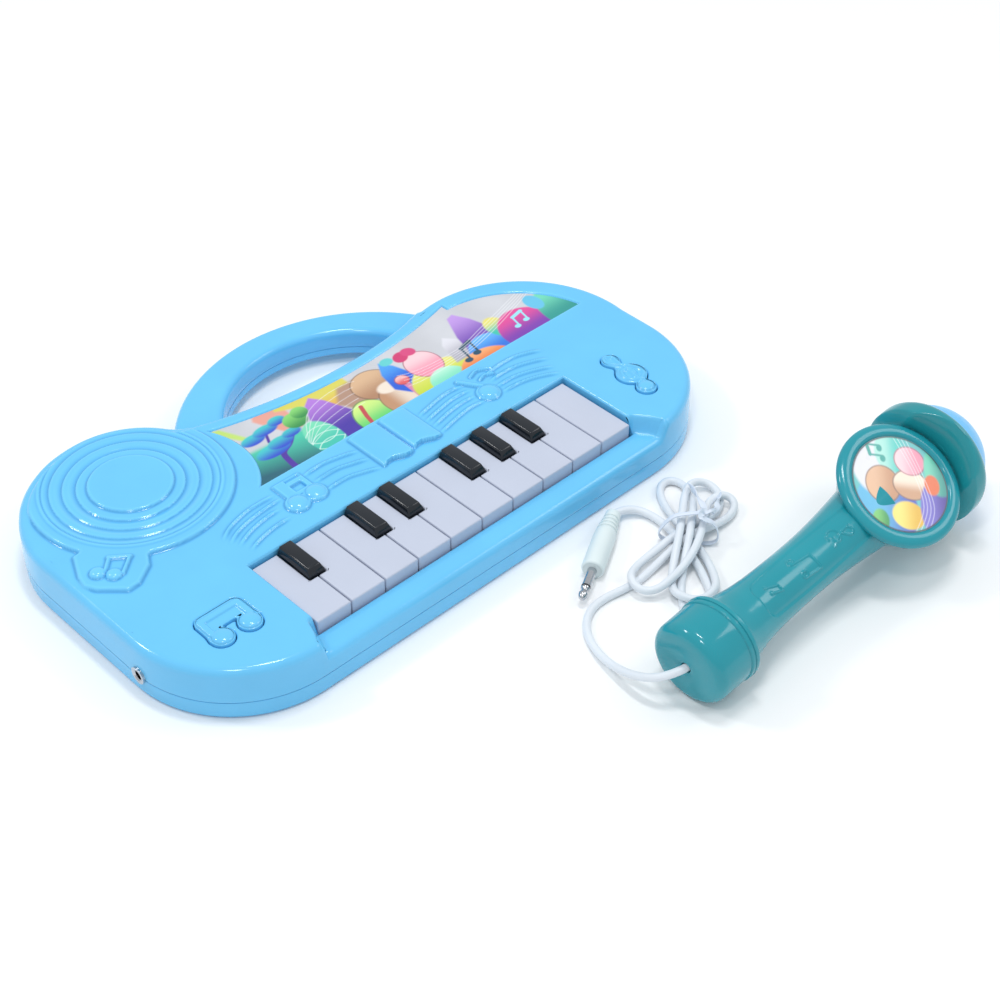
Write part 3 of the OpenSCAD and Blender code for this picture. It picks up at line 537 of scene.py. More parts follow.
plugM = Matrix.Translation((7.8, -110.5, 4.3)) @ Matrix.Rotation(math.radians(29.8), 4, "Z")
prof = [(15.5, 1.3), (15.5, 3.4)] + arc(16.5, 3.25, 1.0, 180, 90, 6) + [(20, 4.25), (26, 4.25), (31, 4.22), (34.5, 4.1)]
r0 = 4.05
for k in range(4):
    x0 = 36.2 + 2.2 * k
    rr_ = 3.98 - 0.28 * k
    prof += [(x0 - 0.25, rr_), (x0, rr_ - 0.12), (x0 + 0.1, rr_ - 0.5), (x0 + 0.8, rr_ - 0.55), (x0 + 0.9, rr_ - 0.2), (x0 + 1.15, rr_ - 0.1)]
prof += [(45.4, 2.95), (46.6, 2.85)] + arc(46.7, 2.2, 0.6, 80, 10, 4) + [(47.45, 1.62), (44, 1.6)]
plug_b = lathe("plug_barrel_ribbed", prof, PLUGM, plugM, 64, sharp=50)
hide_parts("plug_barrel")
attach(plug_b, "microphone")
prof = [(0.02, 0.0001), (0.06, 0.35), (0.35, 0.85), (0.9, 1.3), (1.6, 1.6), (2.3, 1.74), (2.9, 1.72), (3.4, 1.45), (3.9, 1.24), (4.5, 1.24), (5.0, 1.5), (5.4, 1.72), (5.88, 1.75), (5.9, 1.2), (6.6, 1.2), (6.62, 1.75),
        (9.5, 1.75), (9.55, 1.66), (9.7, 1.66), (9.75, 1.75), (15.4, 1.75), (15.48, 1.5)]
plug_s = lathe("plug_shaft_turned", prof, METAL, plugM, 48)
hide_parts("plug_shaft")
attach(plug_s, "microphone")

TIE = [(77.5, -98.5, 8.5), (73.5, -106, 10), (69.5, -112.5, 10.8), (66, -114, 11.8), (61.5, -112, 12.6), (57.5, -109, 12), (54.5, -106.5, 8), (53.5, -105.5, 3.5), (55.5, -107.5, 0.7), (59, -112, 0.7), (63.5, -118, 0.7),
       (67, -121.5, 2), (68, -121, 6), (66.5, -119.5, 10), (63.5, -117, 12.4), (65, -115.6, 13.6), (67.5, -116.5, 12.8), (71, -115.5, 10), (75, -114, 8), (79, -111.5, 7), (83.5, -108.5, 6.5)]
TP = spline(TIE, 8)
# flat strip: width across the run, level where it lies on the bundle
tn = len(TP)
b = Build()
loops = []
ctr = np.array([61.0, -113.5, 6.0])
for i in range(tn):
    t = TP[min(i + 1, tn - 1)] - TP[max(i - 1, 0)]
    t /= np.linalg.norm(t)
    outw = TP[i] - ctr
    outw -= t * (outw @ t)
    outw /= np.linalg.norm(outw)
    tw = 0.0
    if i > 14 * 8 or i < 3 * 8:
        tw = 0.9 * math.sin(i * 0.35)
    side = np.cross(t, outw)
    s2 = side * math.cos(tw) + outw * math.sin(tw)
    o2 = np.cross(s2, t)
    w, h = 1.15, 0.32
    loops.append(np.array([TP[i] + s2 * w * cx + o2 * h * cy for cx, cy in [(-1, -0.5), (-0.45, -1), (0.45, -1), (1, -0.5), (1, 0.5), (0.5, 0.7), (0, 1.15), (-0.5, 0.7), (-1, 0.5)]]))
ids = b.rings(loops)
b.cap(ids[0], 9, True)
b.cap(ids[-1], 9)
v, f = b.out()
v[:, 2] = np.maximum(v[:, 2], 0.05)
tie = make("cord_tie_strip", v, f, TIEM, sharp=50)
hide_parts("cord_tie")
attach(tie, "microphone")


# ------------------------------------------------------------------ keyboard case
def F_plan(x, y):
    F = circ(x, y, -82.5, -34, 45.5)
    for o in (circ(x, y, 80.2, -31, 48.5), circ(x, y, 78, -9.5, 51.1), circ(x, y, -81, 30, 36)):
        F = np.minimum(F, o)
    F = np.minimum(F, np.maximum.reduce([-79.5 - y, y - 10.5, -82.5 - x, x - 80.2]))
    F = np.minimum(F, np.maximum.reduce([-128 - x, -34 - y, y - 19, x + 68]))
    F = np.minimum(F, np.maximum.reduce([x - 128.7, -31 - y, y + 9.5, 60 - x]))
    F = np.minimum(F, np.maximum(circ(x, y, -81, 19, 47), x + 81))
    F = np.minimum(F, np.maximum.reduce([-102 - x, x + 38, -34 - y, y - 30]))
    return smin(F, np.maximum.reduce([-62 - x, x - 67, -34 - y, y - 50, -circ(x, y, 18.3, 235.9, 201.1)]), 3.0)


OPEN = (-76.3, 78.0, -68.8, -31.5)
RAIL = [(-76.3, -68.8), (78.0, -68.8), (81.5, -73.5), (84.5, -79), (87, -92), (-83, -92), (-80, -78), (-77.6, -73)]


def G_rail(x, y):
    return poly(x, y, RAIL)


def top_base(x, y):
    g = G_rail(x, y)
    t = smooth(g / 3.6)
    z = 15.4 + 6.6 * t
    return np.where(y > -60, 22.0, z)


FR = 3.2


def F_label(x, y):
    F = np.maximum.reduce([-1.2 - y, -circ(x, y, -70.5, 21.5, 33), -circ(x, y, 18.3, 235.9, 208.2)])
    return np.maximum(F, np.where(x > 76, circ(x, y, 76, -9.5, 42), -50 - x))


def F_note(x, y, g=0.0):
    F = np.minimum(circ(x, y, -104.2, -53.4, 4.4), circ(x, y, -92.9, -53.8, 4.4))
    B = rect(x, y, -108.2, -103.6, -52.4, -43.4)
    B = np.minimum(B, rect(x, y, -93, -88.4, -52.8, -43.8))
    B = np.minimum(B, rect(x, y, -104.6, -92, -49.3, -40.7))
    B = np.minimum(B, np.minimum(circ(x, y, -104.6, -44.3, 3.6), circ(x, y, -92, -44.3, 3.6)))
    return smin(F, B, 1.6) - g


def F_clef(x, y, g=0.0):
    F = np.minimum(circ(x, y, 98, -48.8, 6.2), circ(x, y, 98, -37.6, 3.7))
    F = np.minimum(F, circ(x, y, 96.2, -58.4, 4))
    return smin(F, rect(x, y, 95.8, 99.6, -58, -38), 1.8) - g


def F_tab(x, y):
    P = [(-118, 13), (-122.6, 3), (-124, -2.2), (-121.5, -6.5), (-113.6, -14), (-108.8, -13.6), (-101, -8.5), (-96, 0), (-100, 14)]
    return poly(x, y, P) - 0.6


def platform(x, y):
    r = np.hypot(x + 81.2, y - 30.2)
    F = smin(r - 38.0, F_tab(x, y), 2.0)
    edge = smooth((-F) / 1.25)
    h = 1.35 * edge
    # stepped rings
    h = h + 0.30 * smooth((34.0 - r) / 0.9) * edge
    for q, dd in ((19.8, 0.62), (24.7, 0.55), (29.4, 0.5)):
        h = h - dd * smooth((r - q + 0.45) / 0.5) * smooth((q + 2.6 - r) / 2.3)
    h = h - 0.35 * np.exp(-((r - 32.2) / 0.42) ** 2)
    h = h + 1.0 * smooth((16.0 - r) / 0.85)
    # raised pair of notes on the tab
    def blob(cx, cy, rr, hh):
        d = np.hypot(x - cx, y - cy)
        return hh * np.sqrt(np.maximum(0, 1 - (d / rr) ** 2))
    n = np.maximum(blob(-117.0, -0.6, 2.9, 1.7), blob(-113.2, -5.0, 2.9, 1.7))
    stem = np.maximum(1.05 * smooth(-seg(x, y, [(-114.6, -1.6), (-109.6, 3.2)], 0.95) / 0.7), 1.05 * smooth(-seg(x, y, [(-110.6, -6.6), (-103.9, -1.2)], 0.95) / 0.7))
    beam = 1.05 * smooth(-seg(x, y, [(-109.8, 3.2), (-103.9, -1.2)], 1.2) / 0.7)
    n = np.maximum(n, np.maximum(stem, beam))
    h = h + n * smooth((r - 37.4) / 1.0)
    # fades out where the case edge rounds off
    h = h * smooth((-F_plan(x, y) - 2.6) / 2.2)
    return h


def staves(x, y):
    """moulded stave lines, notes and an open book between the panel and the keys"""
    h = np.zeros(np.shape(x))
    groups = [
        [[(-75, -15.5), (-68, -11.6), (-58.5, -9.2), (-47, -9.0)], [(-74, -18.6), (-67, -15.2), (-58, -13.2), (-46, -12.2)], [(-72.5, -21.8), (-65, -18.6), (-57, -16.8), (-50, -16.4)], [(-71, -26.4), (-65, -24.2), (-58, -22.8), (-50, -22.4)]],
        [[(-33, -8.2), (-24, -7.6), (-16, -9.0), (-8.5, -11.0)], [(-32, -13.6), (-22, -13.4), (-15, -15.2), (-8.5, -17.0)], [(-32, -20.0), (-22, -19.8), (-15, -21.8), (-8.5, -24.0)]],
        [[(20.5, -11.5), (29, -9.6), (38, -8.2), (46, -9.0)], [(20.5, -15.6), (30, -13.6), (38, -12.4), (46, -12.8)], [(20.5, -19.8), (30, -17.6), (38, -16.6), (45, -17.0)], [(20, -24.4), (30, -22.2), (38, -21.0), (46, -21.6)]],
        [[(56, -10.2), (66, -9.2), (74, -9.8), (84, -13.6)], [(55, -14.2), (64, -13.8), (72, -15.2), (82, -19.2)], [(54, -18.6), (62, -18.4), (70, -20.2), (80, -24.4)], [(54, -22.4), (62, -22.8), (70, -24.8), (79, -29.0)]],
    ]
    for g in groups:
        for L in g:
            sp = spline([(p[0], p[1]) for p in L], 5)
            pts = [tuple(p) for p in sp]
            x0 = min(p[0] for p in pts) - 2
            x1 = max(p[0] for p in pts) + 2
            mk = (x > x0) & (x < x1)
            if mk.any():
                d = np.full(np.shape(x), 9.0)
                d[mk] = seg(x[mk], y[mk], pts, 0)
                fade = smooth((x - x0 - 1.5) / 5) * smooth((x1 - 1.5 - x) / 5)
                h = np.maximum(h, 0.85 * fade * np.exp(-(d / 0.6) ** 2))

    def blob(cx, cy, rr, hh):
        d = np.hypot(x - cx, y - cy)
        return hh * np.sqrt(np.maximum(0, 1 - (d / rr) ** 2))
    # pair of notes on the left
    base = 1.0 * smooth(-np.minimum(rect(x, y, -45.6, -32.6, -16.5, -5.0), smin(circ(x, y, -43.6, -18.6, 5.0), circ(x, y, -35.2, -18.2, 5.0), 1.5)) / 0.9)
    base = base - 1.1 * smooth(-rect(x, y, -40.4, -33.6, -8.0, -5.6) / 0.5) - 1.1 * smooth(-rect(x, y, -40.6, -35.0, -14.0, -9.8) / 0.5)
    h = np.maximum(h, base)
    h = np.maximum(h, np.maximum(blob(-43.6, -18.8, 4.2, 2.1), blob(-35.2, -18.4, 4.2, 2.1)))
    # single note on the right
    st = 1.1 * smooth(-seg(x, y, [(45.4, -6.4), (50.6, -14.5)], 1.3) / 0.8)
    h = np.maximum(h, st)
    h = np.maximum(h, 1.0 * smooth(-seg(x, y, [tuple(p) for p in spline([(51.5, -7.2), (55, -6.0), (58.0, -6.8), (61.0, -8.6)], 5)], 0.9) / 0.7))
    h = np.maximum(h, 1.0 * smooth(-seg(x, y, [tuple(p) for p in spline([(53.0, -11.0), (56, -10.2), (59.4, -11.4)], 5)], 0.9) / 0.7))
    h = np.maximum(h, 0.8 * smooth(-circ(x, y, 50.0, -19.0, 5.2) / 0.8))
    h = np.maximum(h, blob(50.0, -19.2, 4.3, 2.1))
    # open book: two curved pages
    by0 = -25.2 + 1.1 * np.sin((x + 8) / 14.5 * np.pi * 2) * np.where(x < 6.6, 1, 1)
    pg = np.where(x < 6.6, (x + 8.2) / 14.8, (20.2 - x) / 13.6)
    inb = np.minimum.reduce([x + 8.2, 20.2 - x, -3.6 - y, y - by0])
    page = 0.8 + 1.2 * np.sin(np.clip(pg, 0, 1) * np.pi * 0.92) ** 0.8
    page = page - 1.4 * np.exp(-((x - 6.6) / 0.6) ** 2)
    h = np.maximum(h, np.maximum(page, 0.1) * smooth(inb / 0.7))
    return h


def F_hole(x, y):
    return np.minimum(F_note(x, y, 0.3), F_clef(x, y, 0.3))


def top_z(x, y):
    z = top_base(x, y)
    flat = y > -31.0
    z = z + np.where(x < -36, platform(x, y), 0)
    z = z + np.where((y < -1.5) & (y > -31) & (x > -78) & (x < 88), staves(x, y), 0)
    # sunk seat of the printed panel, with rounded rim
    fl = F_label(x, y)
    z = z - 0.95 * smooth((0.75 - fl) / 1.0) * (fl < 0.75)
    # softened rims: key opening and button holes
    dx = np.maximum(OPEN[0] - x, x - OPEN[1])
    dy = np.maximum(OPEN[2] - y, y - OPEN[3])
    d = np.maximum(dx, dy)
    rr = 0.9
    t = np.clip(d, 0, rr)
    z = z - np.where((d < rr) & (y > -69.5), rr - np.sqrt(np.maximum(rr * rr - (rr - t) ** 2, 0)), 0)
    fh = F_hole(x, y)
    r2 = 0.6
    t2 = np.clip(fh, 0, r2)
    z = z - np.where(fh < r2, r2 - np.sqrt(np.maximum(r2 * r2 - (r2 - t2) ** 2, 0)), 0)
    return z


plan_loop = contours(F_plan, (-135, 136, -86, 72), 1.0, 1.1, smooth=2)[0]


def wall_loops(P0, levels):
    loops = []
    P = P0
    for z, ins in levels:
        P = newton(F_plan, P0, -ins, 5) if np.isscalar(ins) else P
        loops.append(np.column_stack([P, np.full(len(P), z) if np.isscalar(z) else z]))
    return loops


b = Build()
one = np.ones(len(plan_loop))


def inset_to(P, ins):
    """each point moved to its own inset"""
    p = P.copy()
    h = 0.02
    for _ in range(7):
        g = np.stack([F_plan(p[:, 0] + h, p[:, 1]) - F_plan(p[:, 0] - h, p[:, 1]), F_plan(p[:, 0], p[:, 1] + h) - F_plan(p[:, 0], p[:, 1] - h)], 1) / (2 * h)
        n2 = np.maximum((g * g).sum(1), 0.09)
        p = p - g * (np.clip(F_plan(p[:, 0], p[:, 1]) + ins, -2, 2) / n2)[:, None]
    return p


Pin = inset_to(plan_loop, one * (0.35 + FR))
tops = top_z(Pin[:, 0], Pin[:, 1])
loops = []
for z, i in [(7.9, 1.6), (7.56, 0.75), (7.62, 0.3), (7.8, 0.08), (8.4, 0.05)]:
    loops.append(np.column_stack([inset_to(plan_loop, one * i), one * z]))
for k in range(1, 9):
    zz = 8.4 + (tops - FR - 8.4) * k / 8
    loops.append(np.column_stack([inset_to(plan_loop, one * (0.05 + 0.3 * k / 8)), zz]))
for k in range(1, 9):
    a = math.pi / 2 * k / 8
    loops.append(np.column_stack([inset_to(plan_loop, 0.35 + FR * (1 - math.cos(a)) * one), tops - FR * (1 - math.sin(a))]))
b.rings(loops)


def F_in(x, y):
    return np.maximum(F_plan(x, y) + 0.35 + FR, -F_hole(x, y))


b.grid(F_in, top_z, (-126, 127, -80, 68), 0.42, xlines=(OPEN[0], OPEN[1]), ylines=(OPEN[2], OPEN[3]), hole=OPEN)
# walls of the key opening
xs_ = np.linspace(OPEN[0], OPEN[1], 60)
ys_ = np.linspace(OPEN[2], OPEN[3], 18)
edge = np.vstack([np.column_stack([xs_, np.full(60, OPEN[2])]), np.column_stack([np.full(17, OPEN[1]), ys_[1:]]), np.column_stack([xs_[::-1][1:], np.full(59, OPEN[3])]), np.column_stack([np.full(16, OPEN[0]), ys_[::-1][1:-1]])])
ez = top_z(edge[:, 0] + 0.0, edge[:, 1] + 0.0)
b.rings([np.column_stack([edge, ez]), np.column_stack([edge, np.full(len(edge), 9.0)])])
# walls of the button holes
for L in contours(F_hole, (-115, 110, -66, -30), 0.5, 0.5, smooth=0):
    b.rings([np.column_stack([L, np.full(len(L), 21.4)]), np.column_stack([L, np.full(len(L), 18.2)])])
JY, JZ, JR = -36.5, 8.5, 3.2


def jack_hole(v, f):
    """opens the left wall where the socket sits and rounds the edge of the opening"""
    v = v.copy()
    wall = v[:, 0] < -120
    d = np.hypot(v[:, 1] - JY, v[:, 2] - JZ)
    keep = []
    cut = []
    for q in f:
        c = v[list(q)].mean(0)
        if c[0] < -120 and math.hypot(c[1] - JY, c[2] - JZ) < JR:
            cut.append(q)
        else:
            keep.append(q)
    rim = set(i for q in cut for i in q) & set(i for q in keep for i in q)
    for i in rim:
        if v[i, 2] > 7.7 or v[i, 2] < 7.3:
            k = JR / max(d[i], 0.1)
            v[i, 1] = JY + (v[i, 1] - JY) * k
            v[i, 2] = JZ + (v[i, 2] - JZ) * k
    return v, keep


v, f = b.out()
v, f = jack_hole(v, f)


def crease_shade_crest_highlight(v, base):
    """painted shade: colour a little deeper along the foot of each raised line; painted highlight: paler on its crest
    """
    x, y = v[:, 0], v[:, 1]
    z0 = top_z(x, y)
    k = np.zeros(len(v))
    for rr in (0.55, 1.1):
        m_ = np.zeros(len(v))
        for ax, ay in ((1, 0), (-1, 0), (0, 1), (0, -1), (0.7, 0.7), (-0.7, 0.7), (0.7, -0.7), (-0.7, -0.7)):
            m_ += top_z(x + ax * rr, y + ay * rr) / 8
        k += np.clip((m_ - z0) / (0.16 * rr + 0.05), -1, 1) * 0.5
    k = k * smooth((-F_plan(x, y) - 4.2) / 1.0) * smooth(F_label(x, y) / 1.2 + 0.5)
    dx = np.maximum(OPEN[0] - x, x - OPEN[1])
    dy = np.maximum(OPEN[2] - y, y - OPEN[3])
    k = k * smooth((np.maximum(dx, dy) - 1.4) / 1.0) * smooth((F_hole(x, y) - 1.2) / 0.8) * smooth((np.abs(G_rail(x, y)) - 5) / 2)
    # painted shade where the neighbours stand higher (k > 0), painted highlight on crests (k < 0)
    f_ = np.where(k > 0, 1 - 0.36 * k, 1 - 0.12 * k)
    c = np.array(base[:3])[None] * f_[:, None] ** np.array([1.5, 0.9, 0.45])[None]
    return np.clip(c, 0, 1)


# the vertex colours of the case top carry the painted crease shade and crest highlight
case_top = make("case_top_moulded", v, f, BODYTOP, sharp=50, recalc=False, attrs=crease_shade_crest_highlight(v, srgb(104, 193, 240)))
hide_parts("upper_case")
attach(case_top, "case")

# skin of the lower half: wall with a rounded foot, inside of it the shell's own underside
b = Build()
loops = []
for z, i in [(6.6, 1.5), (7.42, 1.2), (7.44, 0.5), (7.3, 0.16), (6.6, 0.06), (5.9, 0.06), (5.2, 0.07), (4.4, 0.08), (3.2, 0.1), (1.9, 0.14), (1.15, 0.3), (0.55, 0.62), (0.2, 1.05), (0.04, 1.6), (0.03, 2.4)]:
    loops.append(np.column_stack([inset_to(plan_loop, one * i), one * z]))
b.rings(loops)
v, f = b.out()
v, f = jack_hole(v, f)
base_skin = make("case_base_wall", v, f, BODY, sharp=50)
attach(base_skin, "case")


# carrying handle
def F_handle(x, y):
    F = np.maximum.reduce([circ(x, y, 10, 6.8, 73), -circ(x, y, 12, 17.2, 49), 30 - y])
    return np.maximum(F, -(F_plan(x, y) + 2.2))


hl = contours(F_handle, (-70, 90, 28, 82), 0.8, 0.9, smooth=2)[0]


def h_inset(P, i):
    return newton(F_handle, P, -i, 5)


b = Build()
loops = [np.column_stack([hl * 1.0, np.full(len(hl), 8.2)])]
loops[0][:, :2] = h_inset(hl, 0.9)
for z, i in [(7.58, 0.7), (7.62, 0.22), (7.85, 0.06), (10.0, 0.06), (12.98, 0.1)]:
    loops.append(np.column_stack([h_inset(hl, i), np.full(len(hl), z)]))
for k in range(1, 8):
    a = math.pi / 2 * k / 7
    loops.append(np.column_stack([h_inset(hl, 0.1 + 2.7 * (1 - math.cos(a))), np.full(len(hl), 12.98 + 2.7 * math.sin(a))]))
b.rings(loops)
b.grid(lambda x, y: F_handle(x, y) + 2.8, lambda x, y: np.full(np.shape(x), 15.68), (-70, 90, 28, 82), 1.0)
loops = []
for z, i in [(7.0, 0.9), (7.46, 0.7), (7.44, 0.24), (7.2, 0.1), (5.9, 0.1), (5.2, 0.35), (4.82, 0.8), (4.75, 1.5)]:
    loops.append(np.column_stack([h_inset(hl, i), np.full(len(hl), z)]))
b.rings(loops)
b.grid(lambda x, y: F_handle(x, y) + 1.5, lambda x, y: np.full(np.shape(x), 4.75), (-70, 90, 28, 82), 1.0)
v, f = b.out()
handle = make("carry_handle", v, f, BODY, sharp=50)
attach(handle, "case")


# ------------------------------------------------------------------ buttons
def shell(name, F, H, box, zb, mat, rf=1.0, step=0.35, z0=23.0, ds=0.45, box3=None):
    b = Build()
    for L0 in contours(F, box, 0.5, ds, smooth=1):
        loops = [np.column_stack([L0, np.full(len(L0), zb)])]
        loops.append(np.column_stack([newton(F, L0, -0.02), np.full(len(L0), z0 - rf)]))
        for k in range(1, 6):
            a = math.pi / 2 * k / 5
            loops.append(np.column_stack([newton(F, L0, -0.02 - rf * (1 - math.cos(a)), 5), np.full(len(L0), z0 - rf * (1 - math.sin(a)))]))
        ids = b.rings(loops)
        b.cap(ids[0], len(L0), True)
    b.grid(lambda x, y: F(x, y) + rf + 0.02, lambda x, y: z0 + H(x, y), box, step)
    if box3:
        x0, x1, y0, y1, q0, q1 = box3
        c = 0.4
        sec = [(x0 + c, q0), (x1 - c, q0), (x1, q0 + c), (x1, q1 - c), (x1 - c, q1), (x0 + c, q1), (x0, q1 - c), (x0, q0 + c)]
        ids = b.rings([np.array([(p[0], y, p[1]) for p in sec]) for y in (y0, y1 - c)] + [np.array([((p[0] - xm) * 0.88 + xm, y1, (p[1] - zm) * 0.88 + zm) for p in sec for xm, zm in [((x0 + x1) / 2, (q0 + q1) / 2)]])])
        b.cap(ids[0], 8, True)
        b.cap(ids[-1], 8)
    v, f = b.out()
    return make(name, v, f, mat, sharp=50)


def H_note(x, y):
    def blob(cx, cy, rr, hh):
        d = np.hypot(x - cx, y - cy)
        return hh * np.sqrt(np.maximum(0, 1 - (d / rr) ** 2))
    h = np.maximum(blob(-104.2, -53.6, 3.8, 1.55), blob(-92.9, -54.0, 3.8, 1.55))
    bar = seg(x, y, [(-106.2, -50.5), (-106.2, -43.6), (-90.8, -43.6), (-90.6, -51.0)], 1.7)
    h = np.maximum(h, 0.75 * smooth(-bar / 0.8))
    return h - 0.25


note_b = shell("note_button_moulded", lambda x, y: F_note(x, y, 0.0), H_note, (-112, -85, -60, -38), 18.4, BODY, rf=0.4, z0=22.7, step=0.26)
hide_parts("note_button")
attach(note_b, "note_button")


def H_clef(x, y):
    curl = [tuple(p) for p in spline([(99.6, -36.2), (97.0, -34.9), (95.4, -37.4), (97.2, -41.0), (99.8, -43.6), (101.9, -47.6), (101.6, -52.0), (98.4, -53.6), (95.0, -51.8), (94.2, -48.4), (96.0, -45.6), (98.8, -46.4), (99.2, -49.4), (97.4, -50.6)], 5)]
    stem = [tuple(p) for p in spline([(99.8, -37.0), (98.8, -43), (98.0, -50), (97.6, -56)], 5)]
    h = 0.95 * np.exp(-(seg(x, y, curl, 0) / 0.95) ** 2)
    h = np.maximum(h, 0.8 * np.exp(-(seg(x, y, stem, 0) / 0.8) ** 2))
    d = np.hypot(x - 96.3, y + 58.2)
    return np.maximum(h, 1.25 * np.sqrt(np.maximum(0, 1 - (d / 3.2) ** 2))) - 0.35


clef_b = shell("clef_button_moulded", lambda x, y: F_clef(x, y, 0.0), H_clef, (88, 107, -65, -31), 18.4, BODY, rf=0.4, z0=22.7, step=0.26)
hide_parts("clef_button")
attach(clef_b, "clef_button")


# ------------------------------------------------------------------ keys
def bevel_box(name, outline, z0, z1, mat, r=0.85, rv=0.35, taper=None, extra=()):
    """prism of a plan outline with rounded top edges and eased uprights; extra boxes hang inside"""
    bm = bmesh.new()
    lo = [bm.verts.new((p[0] * MM, p[1] * MM, z0 * MM)) for p in outline]
    hi = [bm.verts.new(((taper(p)[0] if taper else p[0]) * MM, (taper(p)[1] if taper else p[1]) * MM, z1 * MM)) for p in outline]
    n = len(outline)
    bm.faces.new(lo[::-1])
    top = bm.faces.new(hi)
    for i in range(n):
        j = (i + 1) % n
        bm.faces.new((lo[i], lo[j], hi[j], hi[i]))
    bm.edges.ensure_lookup_table()
    up = [e for e in bm.edges if (e.verts[0] in lo) != (e.verts[1] in lo)]
    bmesh.ops.bevel(bm, geom=up, offset=rv * MM, segments=2, profile=0.5, affect="EDGES", clamp_overlap=True)
    tops = [e for e in bm.edges if all(abs(v.co.z - z1 * MM) < 1e-7 for v in e.verts) and len(e.link_faces) == 2 and any(abs(f.normal.z) < 0.9 for f in e.link_faces)]
    bmesh.ops.bevel(bm, geom=tops, offset=r * MM, segments=4, profile=0.5, affect="EDGES", clamp_overlap=True)
    for (x0, x1, y0, y1, q0, q1) in extra:
        r2 = bmesh.ops.create_cube(bm, size=1.0)
        for v_ in r2["verts"]:
            v_.co = Vector(((x0 + x1) / 2 + v_.co.x * (x1 - x0), (y0 + y1) / 2 + v_.co.y * (y1 - y0), (q0 + q1) / 2 + v_.co.z * (q1 - q0))) * MM
    bmesh.ops.recalc_face_normals(bm, faces=bm.faces)
    for e in bm.edges:
        e.smooth = not (len(e.link_faces) == 2 and e.calc_face_angle(0) > math.radians(34))
    for f_ in bm.faces:
        f_.smooth = True
    me = bpy.data.meshes.new(name)
    bm.to_mesh(me)
    bm.free()
    me.materials.append(mat)
    ob = bpy.data.objects.new(name, me)
    scene.collection.objects.link(ob)
    return ob


BLACKS = [0, 2, 3, 5, 6, 7]
for i in range(10):
    x0 = -76 + 15.3 * i + 0.25
    x1 = x0 + 14.8
    right = i in BLACKS
    left = (i - 1) in BLACKS
    yb, yn, yf = -32.2, -50.4, -68.0
    o = [(x0, yf), (x1, yf)]
    o += [(x1, yn), (x1 - 3.6, yn), (x1 - 3.6, yb)] if right else [(x1, yb)]
    o += [(x0 + 3.6, yb), (x0 + 3.6, yn), (x0, yn)] if left else [(x0, yb)]
    xc = (x0 + x1) / 2
    nm = "white_key_%02d" % (i + 1)
    k = shell(nm + "_moulded", lambda x, y, o=o: poly(x, y, o), lambda x, y: 0 * x, (x0 - 0.3, x1 + 0.3, -68.4, -31.8), 11.5, WHITEKEY, rf=0.75, step=0.9, z0=20.0, ds=0.4, box3=(xc - 2.6, xc + 2.6, -32.4, -2.0, 12.7, 16.7))
    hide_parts(nm)
    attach(k, nm)
for k_, i in enumerate(BLACKS):
    xc = -76 + 15.3 * (i + 1)
    o = [(xc - 3.5, -49.7), (xc + 3.5, -49.7), (xc + 3.5, -32.2), (xc - 3.5, -32.2)]

    def tp(p, xc=xc):
        return (xc + (p[0] - xc) * 0.74, -48.2 if p[1] < -49 else p[1])
    nm = "black_key_%d" % (k_ + 1)
    bm = bmesh.new()
    lv = []
    for z, o_ in [(11.5, o), (20.6, o), (22.95, [tp(p) for p in o])]:
        lv.append([bm.verts.new((p[0] * MM, p[1] * MM, z * MM)) for p in o_])
    bm.faces.new(lv[0][::-1])
    bm.faces.new(lv[2])
    for a_, b_ in zip(lv[:-1], lv[1:]):
        for q in range(4):
            w = (q + 1) % 4
            bm.faces.new((a_[q], a_[w], b_[w], b_[q]))
    bm.edges.ensure_lookup_table()
    ed = [e for e in bm.edges if max(v_.co.z for v_ in e.verts) > 20.7 * MM]
    bmesh.ops.bevel(bm, geom=ed, offset=0.55 * MM, segments=3, profile=0.5, affect="EDGES", clamp_overlap=True)
    r2 = bmesh.ops.create_cube(bm, size=1.0)
    for v_ in r2["verts"]:
        v_.co = Vector((xc + v_.co.x * 4.2, -17.3 + v_.co.y * 30.2, 14.7 + v_.co.z * 3.8)) * MM
    bmesh.ops.recalc_face_normals(bm, faces=bm.faces)
    for e in bm.edges:
        e.smooth = not (len(e.link_faces) == 2 and e.calc_face_angle(0) > math.radians(34))
    for f_ in bm.faces:
        f_.smooth = True
    me = bpy.data.meshes.new(nm + "_moulded")
    bm.to_mesh(me)
    bm.free()
    me.materials.append(BLACKKEY)
    k = bpy.data.objects.new(nm + "_moulded", me)
    scene.collection.objects.link(k)
    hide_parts(nm)
    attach(k, nm)


# ------------------------------------------------------------------ printed panel (generic shapes only)
def col(r, g, b):
    return np.array(srgb(r, g, b)[:3])


def paint(C, d, c, soft=0.35, c2=None, t=None, outline=None):
    """lays colour c over C where d < 0; c2 with weight t gives a gradient"""
    w = smooth(0.5 - d / (2 * soft))[:, None]
    cc = c if c2 is None else c * (1 - t[:, None]) + c2 * t[:, None]
    if outline is not None:
        wo = smooth(0.5 - (np.abs(d) - 0.25) / 0.4)[:, None]
        C = C * (1 - w) + cc * w
        return C * (1 - wo * 0.7) + outline * wo * 0.7
    return C * (1 - w) + cc * w


def ell(x, y, cx, cy, rx, ry, a=0.0):
    c, s = math.cos(a), math.sin(a)
    u = ((x - cx) * c + (y - cy) * s) / rx
    w = (-(x - cx) * s + (y - cy) * c) / ry
    return (np.hypot(u, w) - 1) * min(rx, ry)


